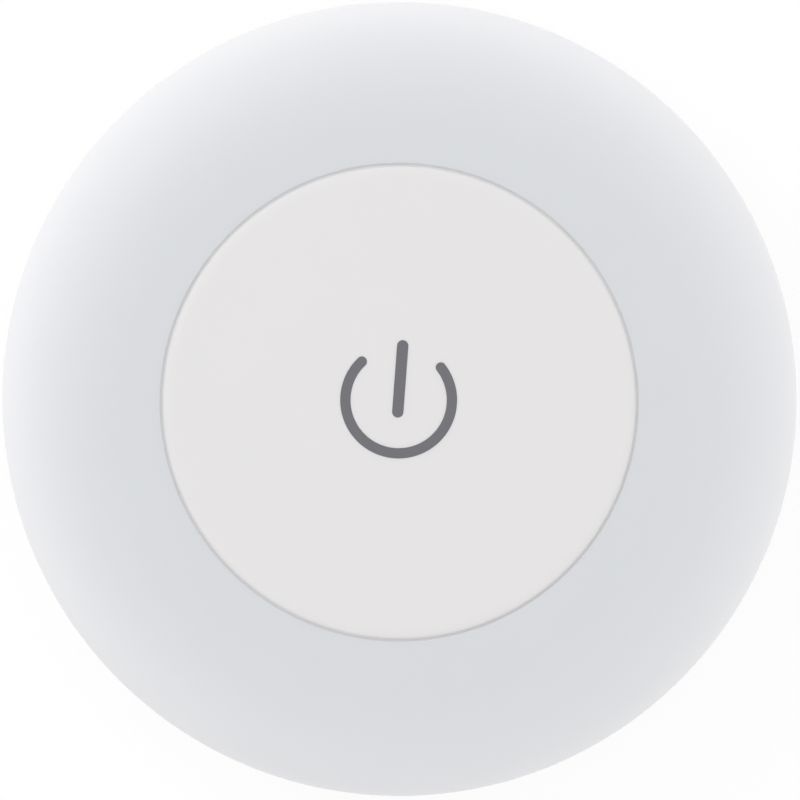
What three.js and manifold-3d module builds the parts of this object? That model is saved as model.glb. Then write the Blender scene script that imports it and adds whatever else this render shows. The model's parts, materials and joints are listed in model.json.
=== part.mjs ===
// A round battery light for the underside of a cabinet, pressed in the middle to switch it.
//
// A back plate is stuck or screwed to the cabinet, and the light twists onto it with three bayonet lugs.
// The light is a shell with a battery tray and a deck, a board with six light sources, a guide cup with a
// snap-in button over a push switch, and a frosted ring that snaps over the shell.
//
// Units are millimetres. The origin is the middle of the back, on the face that meets the cabinet,
// +Z points out of the front and +Y to the top of the sign on the button.
import * as THREE from 'three';
import { mergeVertices } from 'three/addons/utils/BufferGeometryUtils.js';
import Module from 'manifold-3d';

const wasm = await Module();
wasm.setup();

// How finely round shapes are cut
const wideFacets = 48;
const mediumFacets = 24;
const cellFacets = 20;
const smallFacets = 14;
const wireSides = 5;
const curlSteps = 8;
const domeSteps = 10;
const linerSteps = 7;
const filletSteps = 3;

// Clearances
const seatGap = 0.1; // between flat faces that rest on each other
const fitGap = 0.2; // around a fixed piece in its pocket or slot
const slideGap = 0.25; // around a piece that slides or turns
const root = 0.5; // how far a joined feature reaches into what carries it
const overrun = 1; // how far a cut runs past the face that it opens

// The light as a whole
const bodyRadius = 40;
const buttonRadius = 23.6;
const buttonGap = 0.3; // the dark line round the button
const buttonProud = 0.4; // how far the button stands out of the ring

// Back plate and its foam pad
const padRadius = 18;
const padThickness = 0.9;
const padProud = 0.4;
const plateThickness = 1.6;
const plateChamfer = 0.4;
const plateRibRadii = [10, 20];
const plateRibWidth = 1;
const plateRibHeight = 0.3;
const skirtThickness = 1.4;
const lugCount = 3;
const lugReach = 1.4;
const lugHeight = 1.6;
const lugAngle = 16;
const twistAngle = 25;
const lugPlayAngle = 6; // how much wider than a lug its way in is
const stopPlayAngle = 0.5;
const stopAngle = 5;
const ledgeLift = 0.5;
const ledgeHeight = 1.7;
const mountHoleRadius = 2.1;
const mountHeadRadius = 3.9;
const mountCollarWall = 1;
const mountCollarHeight = 0.8;
const mountInset = 1.15; // from the skirt to the collars
const gripInset = 4.35; // from the rim to the grips
const gripLength = 7;
const gripDepth = 0.8;
const gripCount = 5;
const gripAngle = 5;
const gripPitchAngle = 9;

// Rear housing
const rearStep = 0.6; // from the back of the plate to the back edge of the housing
const housingDepth = 10.2;
const housingDraft = 1.2;
const housingFillet = 1.2;
const boreChamfer = 0.4;
const partingGap = 0.3;
const tongueThickness = 1.4;
const deckThickness = 1.2;
const standoffHeight = 0.8;
const bossRadius = 2.2;
const bossFloor = 0.8;
const boardSeatInset = 1;
const boardSeatWidth = 1.2;
const boardSeatAngle = 28;
const keyWidth = 2.6;
const keyDepth = 1.5;

// Frosted ring
const diffuserWall = 1.8;
const domeDrop = 1.1; // from the deck's top down to the foot of the dome
const diffuserChamfer = 0.3;
const lipFillet = 0.4;
const domeExponent = 2.4;
const snapCount = 4;
const snapAngle = 12;
const snapReach = 0.9;
const snapHeight = 1;
const snapLift = 0.9;

// Cells and their tray
const cellRadius = 5.25;
const cellLength = 44.5;
const cellNubRadius = 1.9;
const cellNubHeight = 0.8;
const cellShoulder = 0.5;
const cellFootRadius = 3.4;
const cellFootDepth = 0.2;
const cellClearance = 0.3;
const cellLift = 0.6; // between the back plate and the cells
const trayWall = 1.2;
const trayLift = 1; // between the back plate and the tray
const trayTrim = 0.5; // between the tray's corners and the skirt of the back plate
const dividerThickness = 0.8;
const dividerDrop = 2.5; // how far the dividers reach behind the cells' middle
const cradleThickness = 1.2;
const cradleLift = 2.5;
const cradlePitch = 15;
const cradleCount = 3;
const keeperWidth = 3;
const keeperThickness = 0.7;
const spacerThickness = 0.7;

// Battery contacts
const contactThickness = 0.4;
const contactHeight = 8;
const contactGap = 0.1;
const bumpRadius = 2.4;
const bumpHeight = 0.5;
const tabWidth = 2.4;
const tabRise = 1; // above the board
const tabInset = 2.2; // from the inner edge of the contact to the middle of its tab
const contactCoilLength = 4.2;
const contactCoilFoot = 3.4;
const contactCoilTip = 2;
const contactCoilTurns = 3;
const contactWireRadius = 0.25;
const coilStartAngle = 90;

// Board and what is soldered to it
const boardInset = 2.6; // from the housing's bore to the board's edge
const boardRim = 1; // round the screw holes near its edge, at least
const boardThickness = 1;
const ledCount = 6;
const ledSize = [2.8, 3.5, 0.8];
const ledCupRadius = 1.1;
const ledCupDepth = 0.3;
const chipSize = [3.9, 4.9, 1.5];
const chipLegCount = 4;
const chipLegPitch = 1.27;
const chipLegWidth = 0.4;
const chipLegReach = 1;
const chipLegHeight = 0.6;
const capacitorSize = [3.2, 1.6, 1.3];
const resistorSize = [2, 1.25, 0.6];
const resistorPitch = 2.4;
const resistorCount = 3;

// Push switch
const switchSize = 6;
const switchCorner = 0.4;
const switchBodyHeight = 3.1;
const switchCoverThickness = 0.3;
const plungerRadius = 1.75;
const plungerRise = 0.75; // above the cover
const plungerFlange = 0.5;
const plungerTravel = 0.3;

// Button and the cup that guides it
const buttonThickness = 1.6;
const buttonFillet = 0.6;
const buttonTravel = 0.6;
const buttonSkirt = 1.4;
const pressGap = 0.35; // between the button's stem and the switch
const stemLength = 1.2;
const stemRadius = 2.6;
const ribCount = 8;
const ribThickness = 1;
const ribDepth = 1.2;
const ribClearance = 1; // round the spring
const hookCount = 4;
const hookAngle = 17;
const hookReach = 0.7;
const hookHeight = 1.2;
const hookSlit = 0.8;
const hookPlayAngle = 1.5;
const hookStartAngle = 45;
const cupWall = 1.3;
const cupFloor = 2;
const spokeWidth = 5.4;
const hubRim = 1.45; // outside the spring
const collarRadius = 5.2;
const collarWall = 0.9;
const collarHeight = 1.2;

// Button spring
const springPlay = 0.95; // between the collar and the spring
const springWireRadius = 0.25;
const springTurns = 3;

// Screws
const screwHeadRadius = 1.75;
const screwHeadHeight = 1.2;
const screwHeadCrown = 0.5;
const screwShankRadius = 0.9;
const screwTip = 0.6;
const frameScrewLength = 6;
const boardScrewLength = 5;
const screwSeat = 0.7; // what is left of the cup's floor under a screw head
const driveLength = 2;
const driveWidth = 0.5;
const driveDepth = 0.7;

// Radii that follow from those
const holeRadius = buttonRadius + buttonGap;
const diffuserInner = bodyRadius - diffuserWall;
const tongueRadius = diffuserInner - fitGap;
const boreRadius = tongueRadius - tongueThickness;
const plateRadius = boreRadius - slideGap;
const skirtRadius = plateRadius - lugReach;
const ledgeRadius = skirtRadius + slideGap;
const cupRadius = buttonRadius + slideGap;
const cupOuterRadius = cupRadius + cupWall;
const springRadius = collarRadius + collarWall + springPlay + springWireRadius;
const hubRadius = springRadius + springWireRadius + hubRim;
const partsReach = (hubRadius + cupRadius) / 2;
const trimRadius = skirtRadius - skirtThickness - trayTrim;
const mountHoleReach =
  skirtRadius - skirtThickness - mountInset - mountCollarWall - mountHeadRadius;
const gripReach = plateRadius - gripInset - gripLength;

// Heights above the back, in the order in which the pieces are stacked
const plateBack = padProud;
const padSeat = padThickness + seatGap;
const plateTop = plateBack + plateThickness;
const housingBack = plateBack + rearStep;
const ledgeBottom = plateTop + ledgeLift;
const ledgeTop = ledgeBottom + ledgeHeight;
const lugBottom = ledgeTop + slideGap;
const lugTop = lugBottom + lugHeight;
const partingHeight = housingBack + housingDepth;
const cellMiddle = plateTop + cellLift + cellRadius;
const deckBottom = cellMiddle + cellRadius + cellClearance;
const deckTop = deckBottom + deckThickness;
const boardBottom = deckTop + standoffHeight + seatGap;
const boardTop = boardBottom + boardThickness;
const cupBottom = boardTop + seatGap;
const cupFloorTop = cupBottom + cupFloor;
const hookBottom = cupFloorTop + buttonTravel + slideGap;
const hookTop = hookBottom + hookHeight;
const switchBottom = boardTop + seatGap;
const switchCoverBottom = switchBottom + switchBodyHeight + seatGap;
const plungerTop = switchCoverBottom + switchCoverThickness + plungerRise;
const stemBottom = plungerTop + pressGap;
const buttonUnder = stemBottom + stemLength;
const buttonTop = buttonUnder + buttonThickness;
const frontTop = buttonTop - buttonProud;
const lipBottom = frontTop - diffuserWall;
const cupTop = lipBottom - seatGap;
const diffuserBottom = partingHeight + partingGap;
const domeFoot = deckTop - domeDrop;
const snapBottom = diffuserBottom + snapLift;
const snapTop = snapBottom + snapHeight;

// The tray's plan: three cells side by side along X, lying along Y, with contacts at both ends
const cellPitch = 2 * (cellRadius + cellClearance) + dividerThickness;
const dividerPlace = cellPitch / 2;
const trayInnerWidth = 3 * cellPitch - dividerThickness;
const traySide = trayInnerWidth / 2;
const contactSlot = contactThickness + 2 * contactGap;
const trayInnerLength =
  cellLength + 2 * contactSlot + bumpHeight + contactCoilLength + 2 * contactGap;
const trayEnd = trayInnerLength / 2;
const cellOffset = trayEnd - contactSlot - bumpHeight - contactGap - cellLength / 2;
const trayBottom = plateTop + trayLift;
const dividerBottom = cellMiddle - dividerDrop;
const frameScrewPlace = traySide + trayWall + bossRadius - root;
const boardScrewPlace = Math.max(
  trayEnd + trayWall + bossRadius - root,
  cupOuterRadius + fitGap + screwHeadRadius,
);
const boardRadius = Math.max(
  boreRadius - boardInset,
  boardScrewPlace + screwShankRadius + fitGap + boardRim,
);
const boardSeatRadius = boardRadius - boardSeatInset;
const ledReach = (cupOuterRadius + boardRadius) / 2;
const frameScrewSeat = cupBottom + screwSeat;
const boardScrewSeat = boardTop + seatGap;
const contactOuterEdge = Math.min(traySide, otherLeg(trimRadius, trayEnd)) - fitGap;
const contactInnerEdge = dividerPlace + spacerThickness / 2 + fitGap;
const bridgeInnerEdge = dividerPlace - spacerThickness / 2 - fitGap;
const contactFace = trayEnd - contactGap - contactThickness;
const tabPlace = contactInnerEdge + tabInset;
const tabTop = boardTop + tabRise;

const radians = THREE.MathUtils.degToRad;

// The other leg of a right triangle, or nothing where the leg alone reaches past the hypotenuse.
function otherLeg(hypotenuse, leg) {
  return Math.sqrt(Math.max(hypotenuse ** 2 - leg ** 2, 0));
}

// A closed geometry as a solid that can be joined and cut.
function solid(geometry) {
  geometry.deleteAttribute('normal');
  geometry.deleteAttribute('uv');
  const welded = mergeVertices(geometry);
  return new wasm.Manifold(
    new wasm.Mesh({
      numProp: 3,
      vertProperties: welded.getAttribute('position').array,
      triVerts: new Uint32Array(welded.index.array),
    }),
  );
}

// The triangles of a solid as a geometry.
function geometryOf(body) {
  const { vertProperties, triVerts } = body.getMesh();
  const geometry = new THREE.BufferGeometry();
  geometry.setAttribute('position', new THREE.BufferAttribute(new Float32Array(vertProperties), 3));
  geometry.setIndex(new THREE.BufferAttribute(new Uint32Array(triVerts), 1));
  geometry.computeVertexNormals();
  return geometry;
}

// Several solids joined into one.
function joined(bodies) {
  return bodies.reduce((whole, body) => whole.add(body));
}

// One solid with several cut out of it.
function cutBy(body, cutters) {
  return cutters.reduce((rest, cutter) => rest.subtract(cutter), body);
}

// A profile of [radius, height] points, counter-clockwise, turned about Z. It starts and ends on the axis
// or is closed on itself here.
function revolve(profile, facets = wideFacets) {
  const points = profile.map(([radius, height]) => new THREE.Vector2(radius, height));
  const onAxis = points[0].x === 0;
  if (!onAxis) points.push(points[0].clone());
  const turned = new THREE.LatheGeometry(points, facets);
  turned.rotateX(Math.PI / 2);
  return solid(turned);
}

// The corners of a regular outline round a place, counter-clockwise.
function circlePoints(radius, facets, [x, y] = [0, 0]) {
  return around(facets).map((angle) => {
    const [across, up] = polar(radius, angle);
    return new THREE.Vector2(x + across, y + up);
  });
}

// A flat outline pushed up from one height to another.
function prism(outline, bottom, top) {
  const pushed = new THREE.ExtrudeGeometry(outline, {
    depth: top - bottom,
    bevelEnabled: false,
    curveSegments: wideFacets / 2,
  });
  pushed.translate(0, 0, bottom);
  return solid(pushed);
}

// A box between two corners.
function block([x0, y0, z0], [x1, y1, z1]) {
  const box = new THREE.BoxGeometry(x1 - x0, y1 - y0, z1 - z0);
  box.translate((x0 + x1) / 2, (y0 + y1) / 2, (z0 + z1) / 2);
  return solid(box);
}

// An upright round post.
function post(radius, [x, y], bottom, top, facets = smallFacets) {
  const cylinder = new THREE.CylinderGeometry(radius, radius, top - bottom, facets);
  cylinder.rotateX(Math.PI / 2);
  cylinder.translate(x, y, (bottom + top) / 2);
  return solid(cylinder);
}

// A closed ring of rectangular section.
function ring(inner, outer, bottom, top, facets = wideFacets) {
  return revolve(
    [
      [inner, bottom],
      [outer, bottom],
      [outer, top],
      [inner, top],
    ],
    facets,
  );
}

// The point at an angle and a reach from the axis.
function polar(reach, angle) {
  return [reach * Math.cos(radians(angle)), reach * Math.sin(radians(angle))];
}

// What lies within widthAngle about middleAngle, over the whole height of the light.
function wedge(middleAngle, widthAngle) {
  const reach = 2 * bodyRadius;
  const outline = new THREE.Shape();
  outline.moveTo(0, 0);
  for (const share of [-0.5, 0, 0.5]) {
    outline.lineTo(...polar(reach, middleAngle + share * widthAngle));
  }
  return prism(outline, -overrun, buttonTop + overrun);
}

// A stretch of a ring of rectangular section.
function arcBlock({ inner, outer, bottom, top, middleAngle, widthAngle }) {
  return ring(inner, outer, bottom, top).intersect(wedge(middleAngle, widthAngle));
}

// The angles of a number of equal steps round the axis.
function around(count, startAngle = 0) {
  return Array.from({ length: count }, (_, index) => startAngle + (index * 360) / count);
}

// A body turned by half a turn about Z, for the other end of the tray.
function opposite(body) {
  return body.rotate([0, 0, 180]);
}

// Points along the dome, from its foot at the rim to its crown at the button's hole.
function domeCurve(reach, rise, steps) {
  const crownRadius = holeRadius + lipFillet;
  return Array.from({ length: steps + 1 }, (_, step) => {
    const turn = (step / steps) * (Math.PI / 2);
    const across = Math.max(Math.cos(turn), 0) ** (2 / domeExponent);
    const up = Math.sin(turn) ** (2 / domeExponent);
    return [crownRadius + reach * across, domeFoot + rise * up];
  });
}

// Points along a rounded corner, from startAngle to endAngle about its centre.
function fillet([radius, height], size, startAngle, endAngle) {
  return Array.from({ length: filletSteps + 1 }, (_, step) => {
    const [across, up] = polar(size, startAngle + ((endAngle - startAngle) * step) / filletSteps);
    return [radius + across, height + up];
  });
}

// Where a lug stands, seen from the locked light.
const lugAngles = around(lugCount, 90);

// The plate that stays on the cabinet, with its skirt, lugs, screw holes and finger grips.
function mountingBase() {
  const recessRadius = padRadius + fitGap;
  const ribs = plateRibRadii.toReversed().flatMap((radius) => [
    [radius + plateRibWidth / 2, plateTop],
    [radius + plateRibWidth / 2, plateTop + plateRibHeight],
    [radius - plateRibWidth / 2, plateTop + plateRibHeight],
    [radius - plateRibWidth / 2, plateTop],
  ]);
  const plate = revolve([
    [0, padSeat],
    [recessRadius, padSeat],
    [recessRadius, plateBack],
    [plateRadius - plateChamfer, plateBack],
    [plateRadius, plateBack + plateChamfer],
    [plateRadius, plateTop],
    [skirtRadius, plateTop],
    [skirtRadius, lugTop],
    [skirtRadius - skirtThickness, lugTop],
    [skirtRadius - skirtThickness, plateTop],
    ...ribs,
    [0, plateTop],
  ]);
  const lugs = lugAngles.map((middleAngle) =>
    arcBlock({
      inner: skirtRadius - root,
      outer: skirtRadius + lugReach,
      bottom: lugBottom,
      top: lugTop,
      middleAngle,
      widthAngle: lugAngle,
    }),
  );
  const collarTop = plateTop + mountCollarHeight;
  const holePlaces = around(2).map((angle) => polar(mountHoleReach, angle));
  const collars = holePlaces.map((place) =>
    post(mountHeadRadius + mountCollarWall, place, plateTop - root, collarTop),
  );
  return cutBy(joined([plate, ...lugs, ...collars]), [
    ...holePlaces.map(countersunkHole),
    ...[90, 270].flatMap(gripGrooves),
  ]);
}

// A screw hole through the plate, sunk from the inside, where the screw is put in.
function countersunkHole([x, y]) {
  const top = plateTop + mountCollarHeight;
  const sinkDepth = mountHeadRadius - mountHoleRadius;
  const hole = revolve(
    [
      [0, plateBack - overrun],
      [mountHoleRadius, plateBack - overrun],
      [mountHoleRadius, top - sinkDepth],
      [mountHeadRadius, top],
      [mountHeadRadius, top + overrun],
      [0, top + overrun],
    ],
    smallFacets,
  );
  return hole.translate([x, y, 0]);
}

// A row of short grooves for the fingers, in the back of the plate.
function gripGrooves(middleAngle) {
  return Array.from({ length: gripCount }, (_, index) =>
    arcBlock({
      inner: gripReach,
      outer: gripReach + gripLength,
      bottom: plateBack - overrun,
      top: plateBack + gripDepth,
      middleAngle: middleAngle + (index - (gripCount - 1) / 2) * gripPitchAngle,
      widthAngle: gripAngle,
    }),
  );
}

// The opaque shell: outer wall, deck, tongue for the frosted ring, bayonet ledges and battery tray.
function rearHousing() {
  const backRadius = bodyRadius - housingDraft;
  const shell = revolve([
    [0, deckBottom],
    [boreRadius, deckBottom],
    [boreRadius, housingBack + boreChamfer],
    [boreRadius + boreChamfer, housingBack],
    ...fillet([backRadius - housingFillet, housingBack + housingFillet], housingFillet, -90, 0),
    [bodyRadius, partingHeight],
    [tongueRadius, partingHeight],
    [tongueRadius, deckTop],
    [0, deckTop],
  ]);
  const seats = around(4, 45).map((middleAngle) =>
    arcBlock({
      inner: boardSeatRadius - boardSeatWidth,
      outer: boardSeatRadius,
      bottom: deckTop - root,
      top: deckTop + standoffHeight,
      middleAngle,
      widthAngle: boardSeatAngle,
    }),
  );
  const key = block(
    [-boreRadius, -keyWidth / 2, deckTop - root],
    [-boardRadius + keyDepth - fitGap, keyWidth / 2, boardTop - fitGap],
  );
  const whole = joined([shell, ...seats, key, batteryTray(), ...bosses(), ...bayonetLedges()]);
  return cutBy(whole, [
    ...snapPockets(),
    ...pilotHoles(),
    ...tabRooms(deckBottom - overrun, deckTop + overrun),
  ]);
}

// The ledges that the lugs run behind, each with a stop at the locked and at the open end.
function bayonetLedges() {
  const inner = ledgeRadius;
  const outer = boreRadius + root;
  const wayIn = lugAngle + lugPlayAngle;
  return lugAngles.flatMap((angle) => {
    const start = angle - twistAngle + wayIn / 2;
    const end = angle - twistAngle - wayIn / 2 + 360 / lugCount;
    const lockedStop = angle + lugAngle / 2 + stopPlayAngle;
    const openStop = angle - twistAngle - lugAngle / 2 - stopPlayAngle;
    return [
      arcBlock({
        inner,
        outer,
        bottom: ledgeBottom,
        top: ledgeTop,
        middleAngle: (start + end) / 2,
        widthAngle: end - start,
      }),
      ...[lockedStop + stopAngle / 2, openStop - stopAngle / 2].map((middleAngle) =>
        arcBlock({
          inner,
          outer,
          bottom: ledgeBottom,
          top: lugTop,
          middleAngle,
          widthAngle: stopAngle,
        }),
      ),
    ];
  });
}

// The open box that holds the cells: walls, dividers, cradle ribs and keepers for the contacts.
function batteryTray() {
  const deckRoot = deckBottom + root;
  const walls = block(
    [-traySide - trayWall, -trayEnd - trayWall, trayBottom],
    [traySide + trayWall, trayEnd + trayWall, deckRoot],
  ).subtract(
    block([-traySide, -trayEnd, trayBottom - overrun], [traySide, trayEnd, deckRoot + overrun]),
  );
  const keeperEnd = trayEnd - contactSlot;
  const dividers = [-dividerPlace, dividerPlace].map((x) =>
    block(
      [x - dividerThickness / 2, -keeperEnd, dividerBottom],
      [x + dividerThickness / 2, keeperEnd, deckRoot],
    ),
  );
  const ends = joined(trayEndFeatures(keeperEnd, deckRoot));
  return joined([walls, ...dividers, ...cradles(deckRoot), ends, opposite(ends)]).intersect(
    post(trimRadius, [0, 0], trayBottom - overrun, deckRoot + overrun, wideFacets),
  );
}

// The keepers that hold the contacts against one end wall, and the spacer between two contacts.
function trayEndFeatures(keeperEnd, deckRoot) {
  const keeperStart = keeperEnd - keeperThickness;
  const keeper = (x0, x1) => block([x0, keeperStart, dividerBottom], [x1, keeperEnd, deckRoot]);
  return [
    keeper(-traySide - root, -traySide + keeperWidth / 2),
    keeper(-dividerPlace - keeperWidth / 2, -dividerPlace + keeperWidth / 2),
    keeper(dividerPlace - keeperWidth / 2, dividerPlace + keeperWidth / 2),
    keeper(traySide - keeperWidth / 2, traySide + root),
    block(
      [dividerPlace - spacerThickness / 2, keeperStart, dividerBottom],
      [dividerPlace + spacerThickness / 2, trayEnd + root, deckRoot],
    ),
  ];
}

// The ribs across the tray, hollowed to the cells' shape.
function cradles(deckRoot) {
  const cells = [-cellPitch, 0, cellPitch].map((x) => {
    const hollow = post(cellRadius + cellClearance, [0, 0], -trayEnd, trayEnd, cellFacets);
    return hollow.rotate([90, 0, 0]).translate([x, 0, cellMiddle]);
  });
  return Array.from({ length: cradleCount }, (_, index) => {
    const y = (index - (cradleCount - 1) / 2) * cradlePitch;
    const rib = block(
      [-traySide - root, y - cradleThickness / 2, cellMiddle + cradleLift],
      [traySide + root, y + cradleThickness / 2, deckRoot],
    );
    return cutBy(rib, cells);
  });
}

const frameScrewPlaces = [
  [frameScrewPlace, 0],
  [-frameScrewPlace, 0],
];
const boardScrewPlaces = [
  [0, boardScrewPlace],
  [0, -boardScrewPlace],
];

// The bosses that take the screws, from above the deck down beside the tray.
function bosses() {
  const boss = (place, tip) =>
    post(bossRadius, place, tip - bossFloor, deckTop + standoffHeight);
  return [
    ...frameScrewPlaces.map((place) => boss(place, frameScrewSeat - frameScrewLength)),
    ...boardScrewPlaces.map((place) => boss(place, boardScrewSeat - boardScrewLength)),
  ];
}

// The holes in the bosses.
function pilotHoles() {
  const radius = screwShankRadius + fitGap;
  const bossTop = deckTop + standoffHeight;
  const hole = (place, tip) => post(radius, place, tip - fitGap, bossTop + overrun);
  return [
    ...frameScrewPlaces.map((place) => hole(place, frameScrewSeat - frameScrewLength)),
    ...boardScrewPlaces.map((place) => hole(place, boardScrewSeat - boardScrewLength)),
  ];
}

// The pockets in the tongue that the frosted ring snaps into.
function snapPockets() {
  return around(snapCount, 45).map((middleAngle) =>
    arcBlock({
      inner: diffuserInner - snapReach - fitGap,
      outer: tongueRadius + overrun,
      bottom: snapBottom - fitGap,
      top: snapTop + fitGap,
      middleAngle,
      widthAngle: snapAngle + 2 * stopPlayAngle,
    }),
  );
}

// The room that the tabs of the two end contacts need between two heights.
function tabRooms(bottom, top) {
  const room = block(
    [tabPlace - tabWidth / 2 - fitGap, contactFace - fitGap, bottom],
    [tabPlace + tabWidth / 2 + fitGap, contactFace + contactThickness + fitGap, top],
  );
  return [room, opposite(room)];
}

// The frosted ring that the light shines through.
function diffuserRing() {
  const crownRadius = holeRadius + lipFillet;
  const reach = bodyRadius - crownRadius;
  const rise = frontTop - domeFoot;
  const shell = revolve([
    [diffuserInner, diffuserBottom],
    [bodyRadius - diffuserChamfer, diffuserBottom],
    [bodyRadius, diffuserBottom + diffuserChamfer],
    ...domeCurve(reach, rise, domeSteps).slice(0, -1),
    ...fillet([crownRadius, frontTop - lipFillet], lipFillet, 90, 180),
    [holeRadius, lipBottom],
    ...domeCurve(reach - diffuserWall, rise - diffuserWall, linerSteps).toReversed(),
  ]);
  const snaps = around(snapCount, 45).map((middleAngle) =>
    revolve([
      [diffuserInner - snapReach, snapTop],
      [diffuserInner - snapReach, snapTop - snapHeight / 2],
      [diffuserInner, snapBottom],
      [diffuserInner + root, snapBottom],
      [diffuserInner + root, snapTop],
    ]).intersect(wedge(middleAngle, snapAngle)),
  );
  return joined([shell, ...snaps]);
}

// The cup that guides the button: wall with hook windows, four spokes, and a hub that seats the spring.
function buttonFrame() {
  const wall = ring(cupRadius, cupOuterRadius, cupBottom, cupTop);
  const hub = ring(collarRadius, hubRadius, cupBottom, cupFloorTop, mediumFacets);
  const collar = ring(
    collarRadius,
    collarRadius + collarWall,
    cupFloorTop - root,
    cupFloorTop + collarHeight,
    mediumFacets,
  );
  const spokes = around(4).map((angle) =>
    block(
      [hubRadius - root, -spokeWidth / 2, cupBottom],
      [cupRadius + root, spokeWidth / 2, cupFloorTop],
    ).rotate([0, 0, angle]),
  );
  const windows = around(hookCount, hookStartAngle).map((middleAngle) =>
    arcBlock({
      inner: cupRadius - overrun,
      outer: cupOuterRadius + overrun,
      bottom: hookBottom - buttonTravel - slideGap,
      top: hookTop + seatGap,
      middleAngle,
      widthAngle: hookAngle + 2 * hookPlayAngle,
    }),
  );
  const screws = frameScrewPlaces.flatMap((place) => [
    post(screwShankRadius + fitGap, place, cupBottom - overrun, cupTop),
    post(screwHeadRadius + fitGap, place, frameScrewSeat - seatGap, cupTop),
  ]);
  return cutBy(joined([wall, hub, collar, ...spokes]), [
    ...windows,
    ...screws,
    ...tabRooms(cupBottom - overrun, tabTop + fitGap),
  ]);
}

// The button: a plate with a soft edge, a skirt with snap hooks, ribs and a stem over the switch.
function buttonCap() {
  const skirtInner = buttonRadius - buttonSkirt;
  const shell = revolve([
    [0, buttonUnder],
    [skirtInner, buttonUnder],
    [skirtInner, hookBottom],
    [buttonRadius, hookBottom],
    ...fillet([buttonRadius - buttonFillet, buttonTop - buttonFillet], buttonFillet, 0, 90),
    [0, buttonTop],
  ]);
  const hooks = around(hookCount, hookStartAngle).map((middleAngle) =>
    revolve([
      [buttonRadius - root, hookBottom],
      [buttonRadius, hookBottom],
      [cupRadius + hookReach, hookTop - hookHeight / 2],
      [cupRadius + hookReach, hookTop],
      [buttonRadius - root, hookTop],
    ]).intersect(wedge(middleAngle, hookAngle)),
  );
  const ribInner = springRadius + springWireRadius + ribClearance;
  const ribs = around(ribCount).map((angle) =>
    block(
      [ribInner, -ribThickness / 2, buttonUnder - ribDepth],
      [skirtInner + root, ribThickness / 2, buttonUnder + root],
    ).rotate([0, 0, angle]),
  );
  const stem = post(stemRadius, [0, 0], stemBottom, buttonUnder + root);
  const slits = around(hookCount, hookStartAngle).flatMap((angle) =>
    [-1, 1].map((side) =>
      block(
        [skirtInner - overrun, -hookSlit / 2, hookBottom - overrun],
        [buttonRadius + overrun, hookSlit / 2, buttonUnder],
      ).rotate([0, 0, angle + side * (hookAngle / 2 + hookPlayAngle)]),
    ),
  );
  return joined([cutBy(shell, slits), ...hooks, ...ribs, stem]);
}

// The round board, with its screw holes, tab slots and key notch.
function circuitBoard() {
  const outline = new THREE.Shape();
  const notch = Math.asin((keyWidth / 2 + fitGap) / boardRadius);
  outline.absarc(0, 0, boardRadius, Math.PI + notch, 3 * Math.PI - notch, false);
  outline.lineTo(-boardRadius + keyDepth, keyWidth / 2 + fitGap);
  outline.lineTo(-boardRadius + keyDepth, -keyWidth / 2 - fitGap);
  const places = [...frameScrewPlaces, ...boardScrewPlaces];
  const holeFit = screwShankRadius + fitGap;
  outline.holes = [
    ...places.map((place) => new THREE.Path(circlePoints(holeFit, smallFacets, place))),
    ...[1, -1].map(boardSlot),
  ];
  return prism(outline, boardBottom, boardTop);
}

// The outline of a tab's slot in the board.
function boardSlot(side) {
  const x0 = tabPlace - tabWidth / 2 - fitGap;
  const x1 = tabPlace + tabWidth / 2 + fitGap;
  const y0 = contactFace - fitGap;
  const y1 = contactFace + contactThickness + fitGap;
  const corners = [
    [x0, y0],
    [x0, y1],
    [x1, y1],
    [x1, y0],
  ];
  return new THREE.Path(corners.map(([x, y]) => new THREE.Vector2(side * x, side * y)));
}

// A box standing on the middle of its underside.
function standingBox([width, depth, height]) {
  return block([-width / 2, -depth / 2, 0], [width / 2, depth / 2, height]);
}

// A light source: a white package with a cup for its yellow filling.
function ledPackage() {
  const height = ledSize[2];
  return standingBox(ledSize).subtract(
    post(ledCupRadius, [0, 0], height - ledCupDepth, height + overrun),
  );
}

// The control chip, with a row of legs on both sides.
function controlChip() {
  const [width] = chipSize;
  const legs = [-1, 1].flatMap((side) =>
    Array.from({ length: chipLegCount }, (_, index) => {
      const y = (index - (chipLegCount - 1) / 2) * chipLegPitch;
      const near = side * (width / 2 - chipLegWidth);
      const far = side * (width / 2 + chipLegReach);
      return block(
        [Math.min(near, far), y - chipLegWidth / 2, 0],
        [Math.max(near, far), y + chipLegWidth / 2, chipLegHeight],
      );
    }),
  );
  return joined([standingBox(chipSize), ...legs]);
}

// The switch's base, with a stepped well for the plunger.
function switchBody() {
  const wellRadius = plungerRadius + plungerFlange + fitGap;
  const wellDepth = plungerFlange + plungerTravel + fitGap;
  return chamferedSquare(switchSize, switchCorner, 0, switchBodyHeight).subtract(
    post(wellRadius, [0, 0], switchBodyHeight - wellDepth, switchBodyHeight + overrun),
  );
}

// The sheet cover that keeps the plunger in.
function switchCover() {
  return chamferedSquare(switchSize, switchCorner, 0, switchCoverThickness).subtract(
    post(plungerRadius + fitGap, [0, 0], -overrun, switchCoverThickness + overrun),
  );
}

// The plunger, with a flange behind the cover.
function switchPlunger() {
  const flangeTop = -seatGap;
  return revolve(
    [
      [0, flangeTop - plungerFlange],
      [plungerRadius + plungerFlange, flangeTop - plungerFlange],
      [plungerRadius + plungerFlange, flangeTop],
      [plungerRadius, flangeTop],
      [plungerRadius, switchCoverThickness + plungerRise],
      [0, switchCoverThickness + plungerRise],
    ],
    smallFacets,
  );
}

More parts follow.
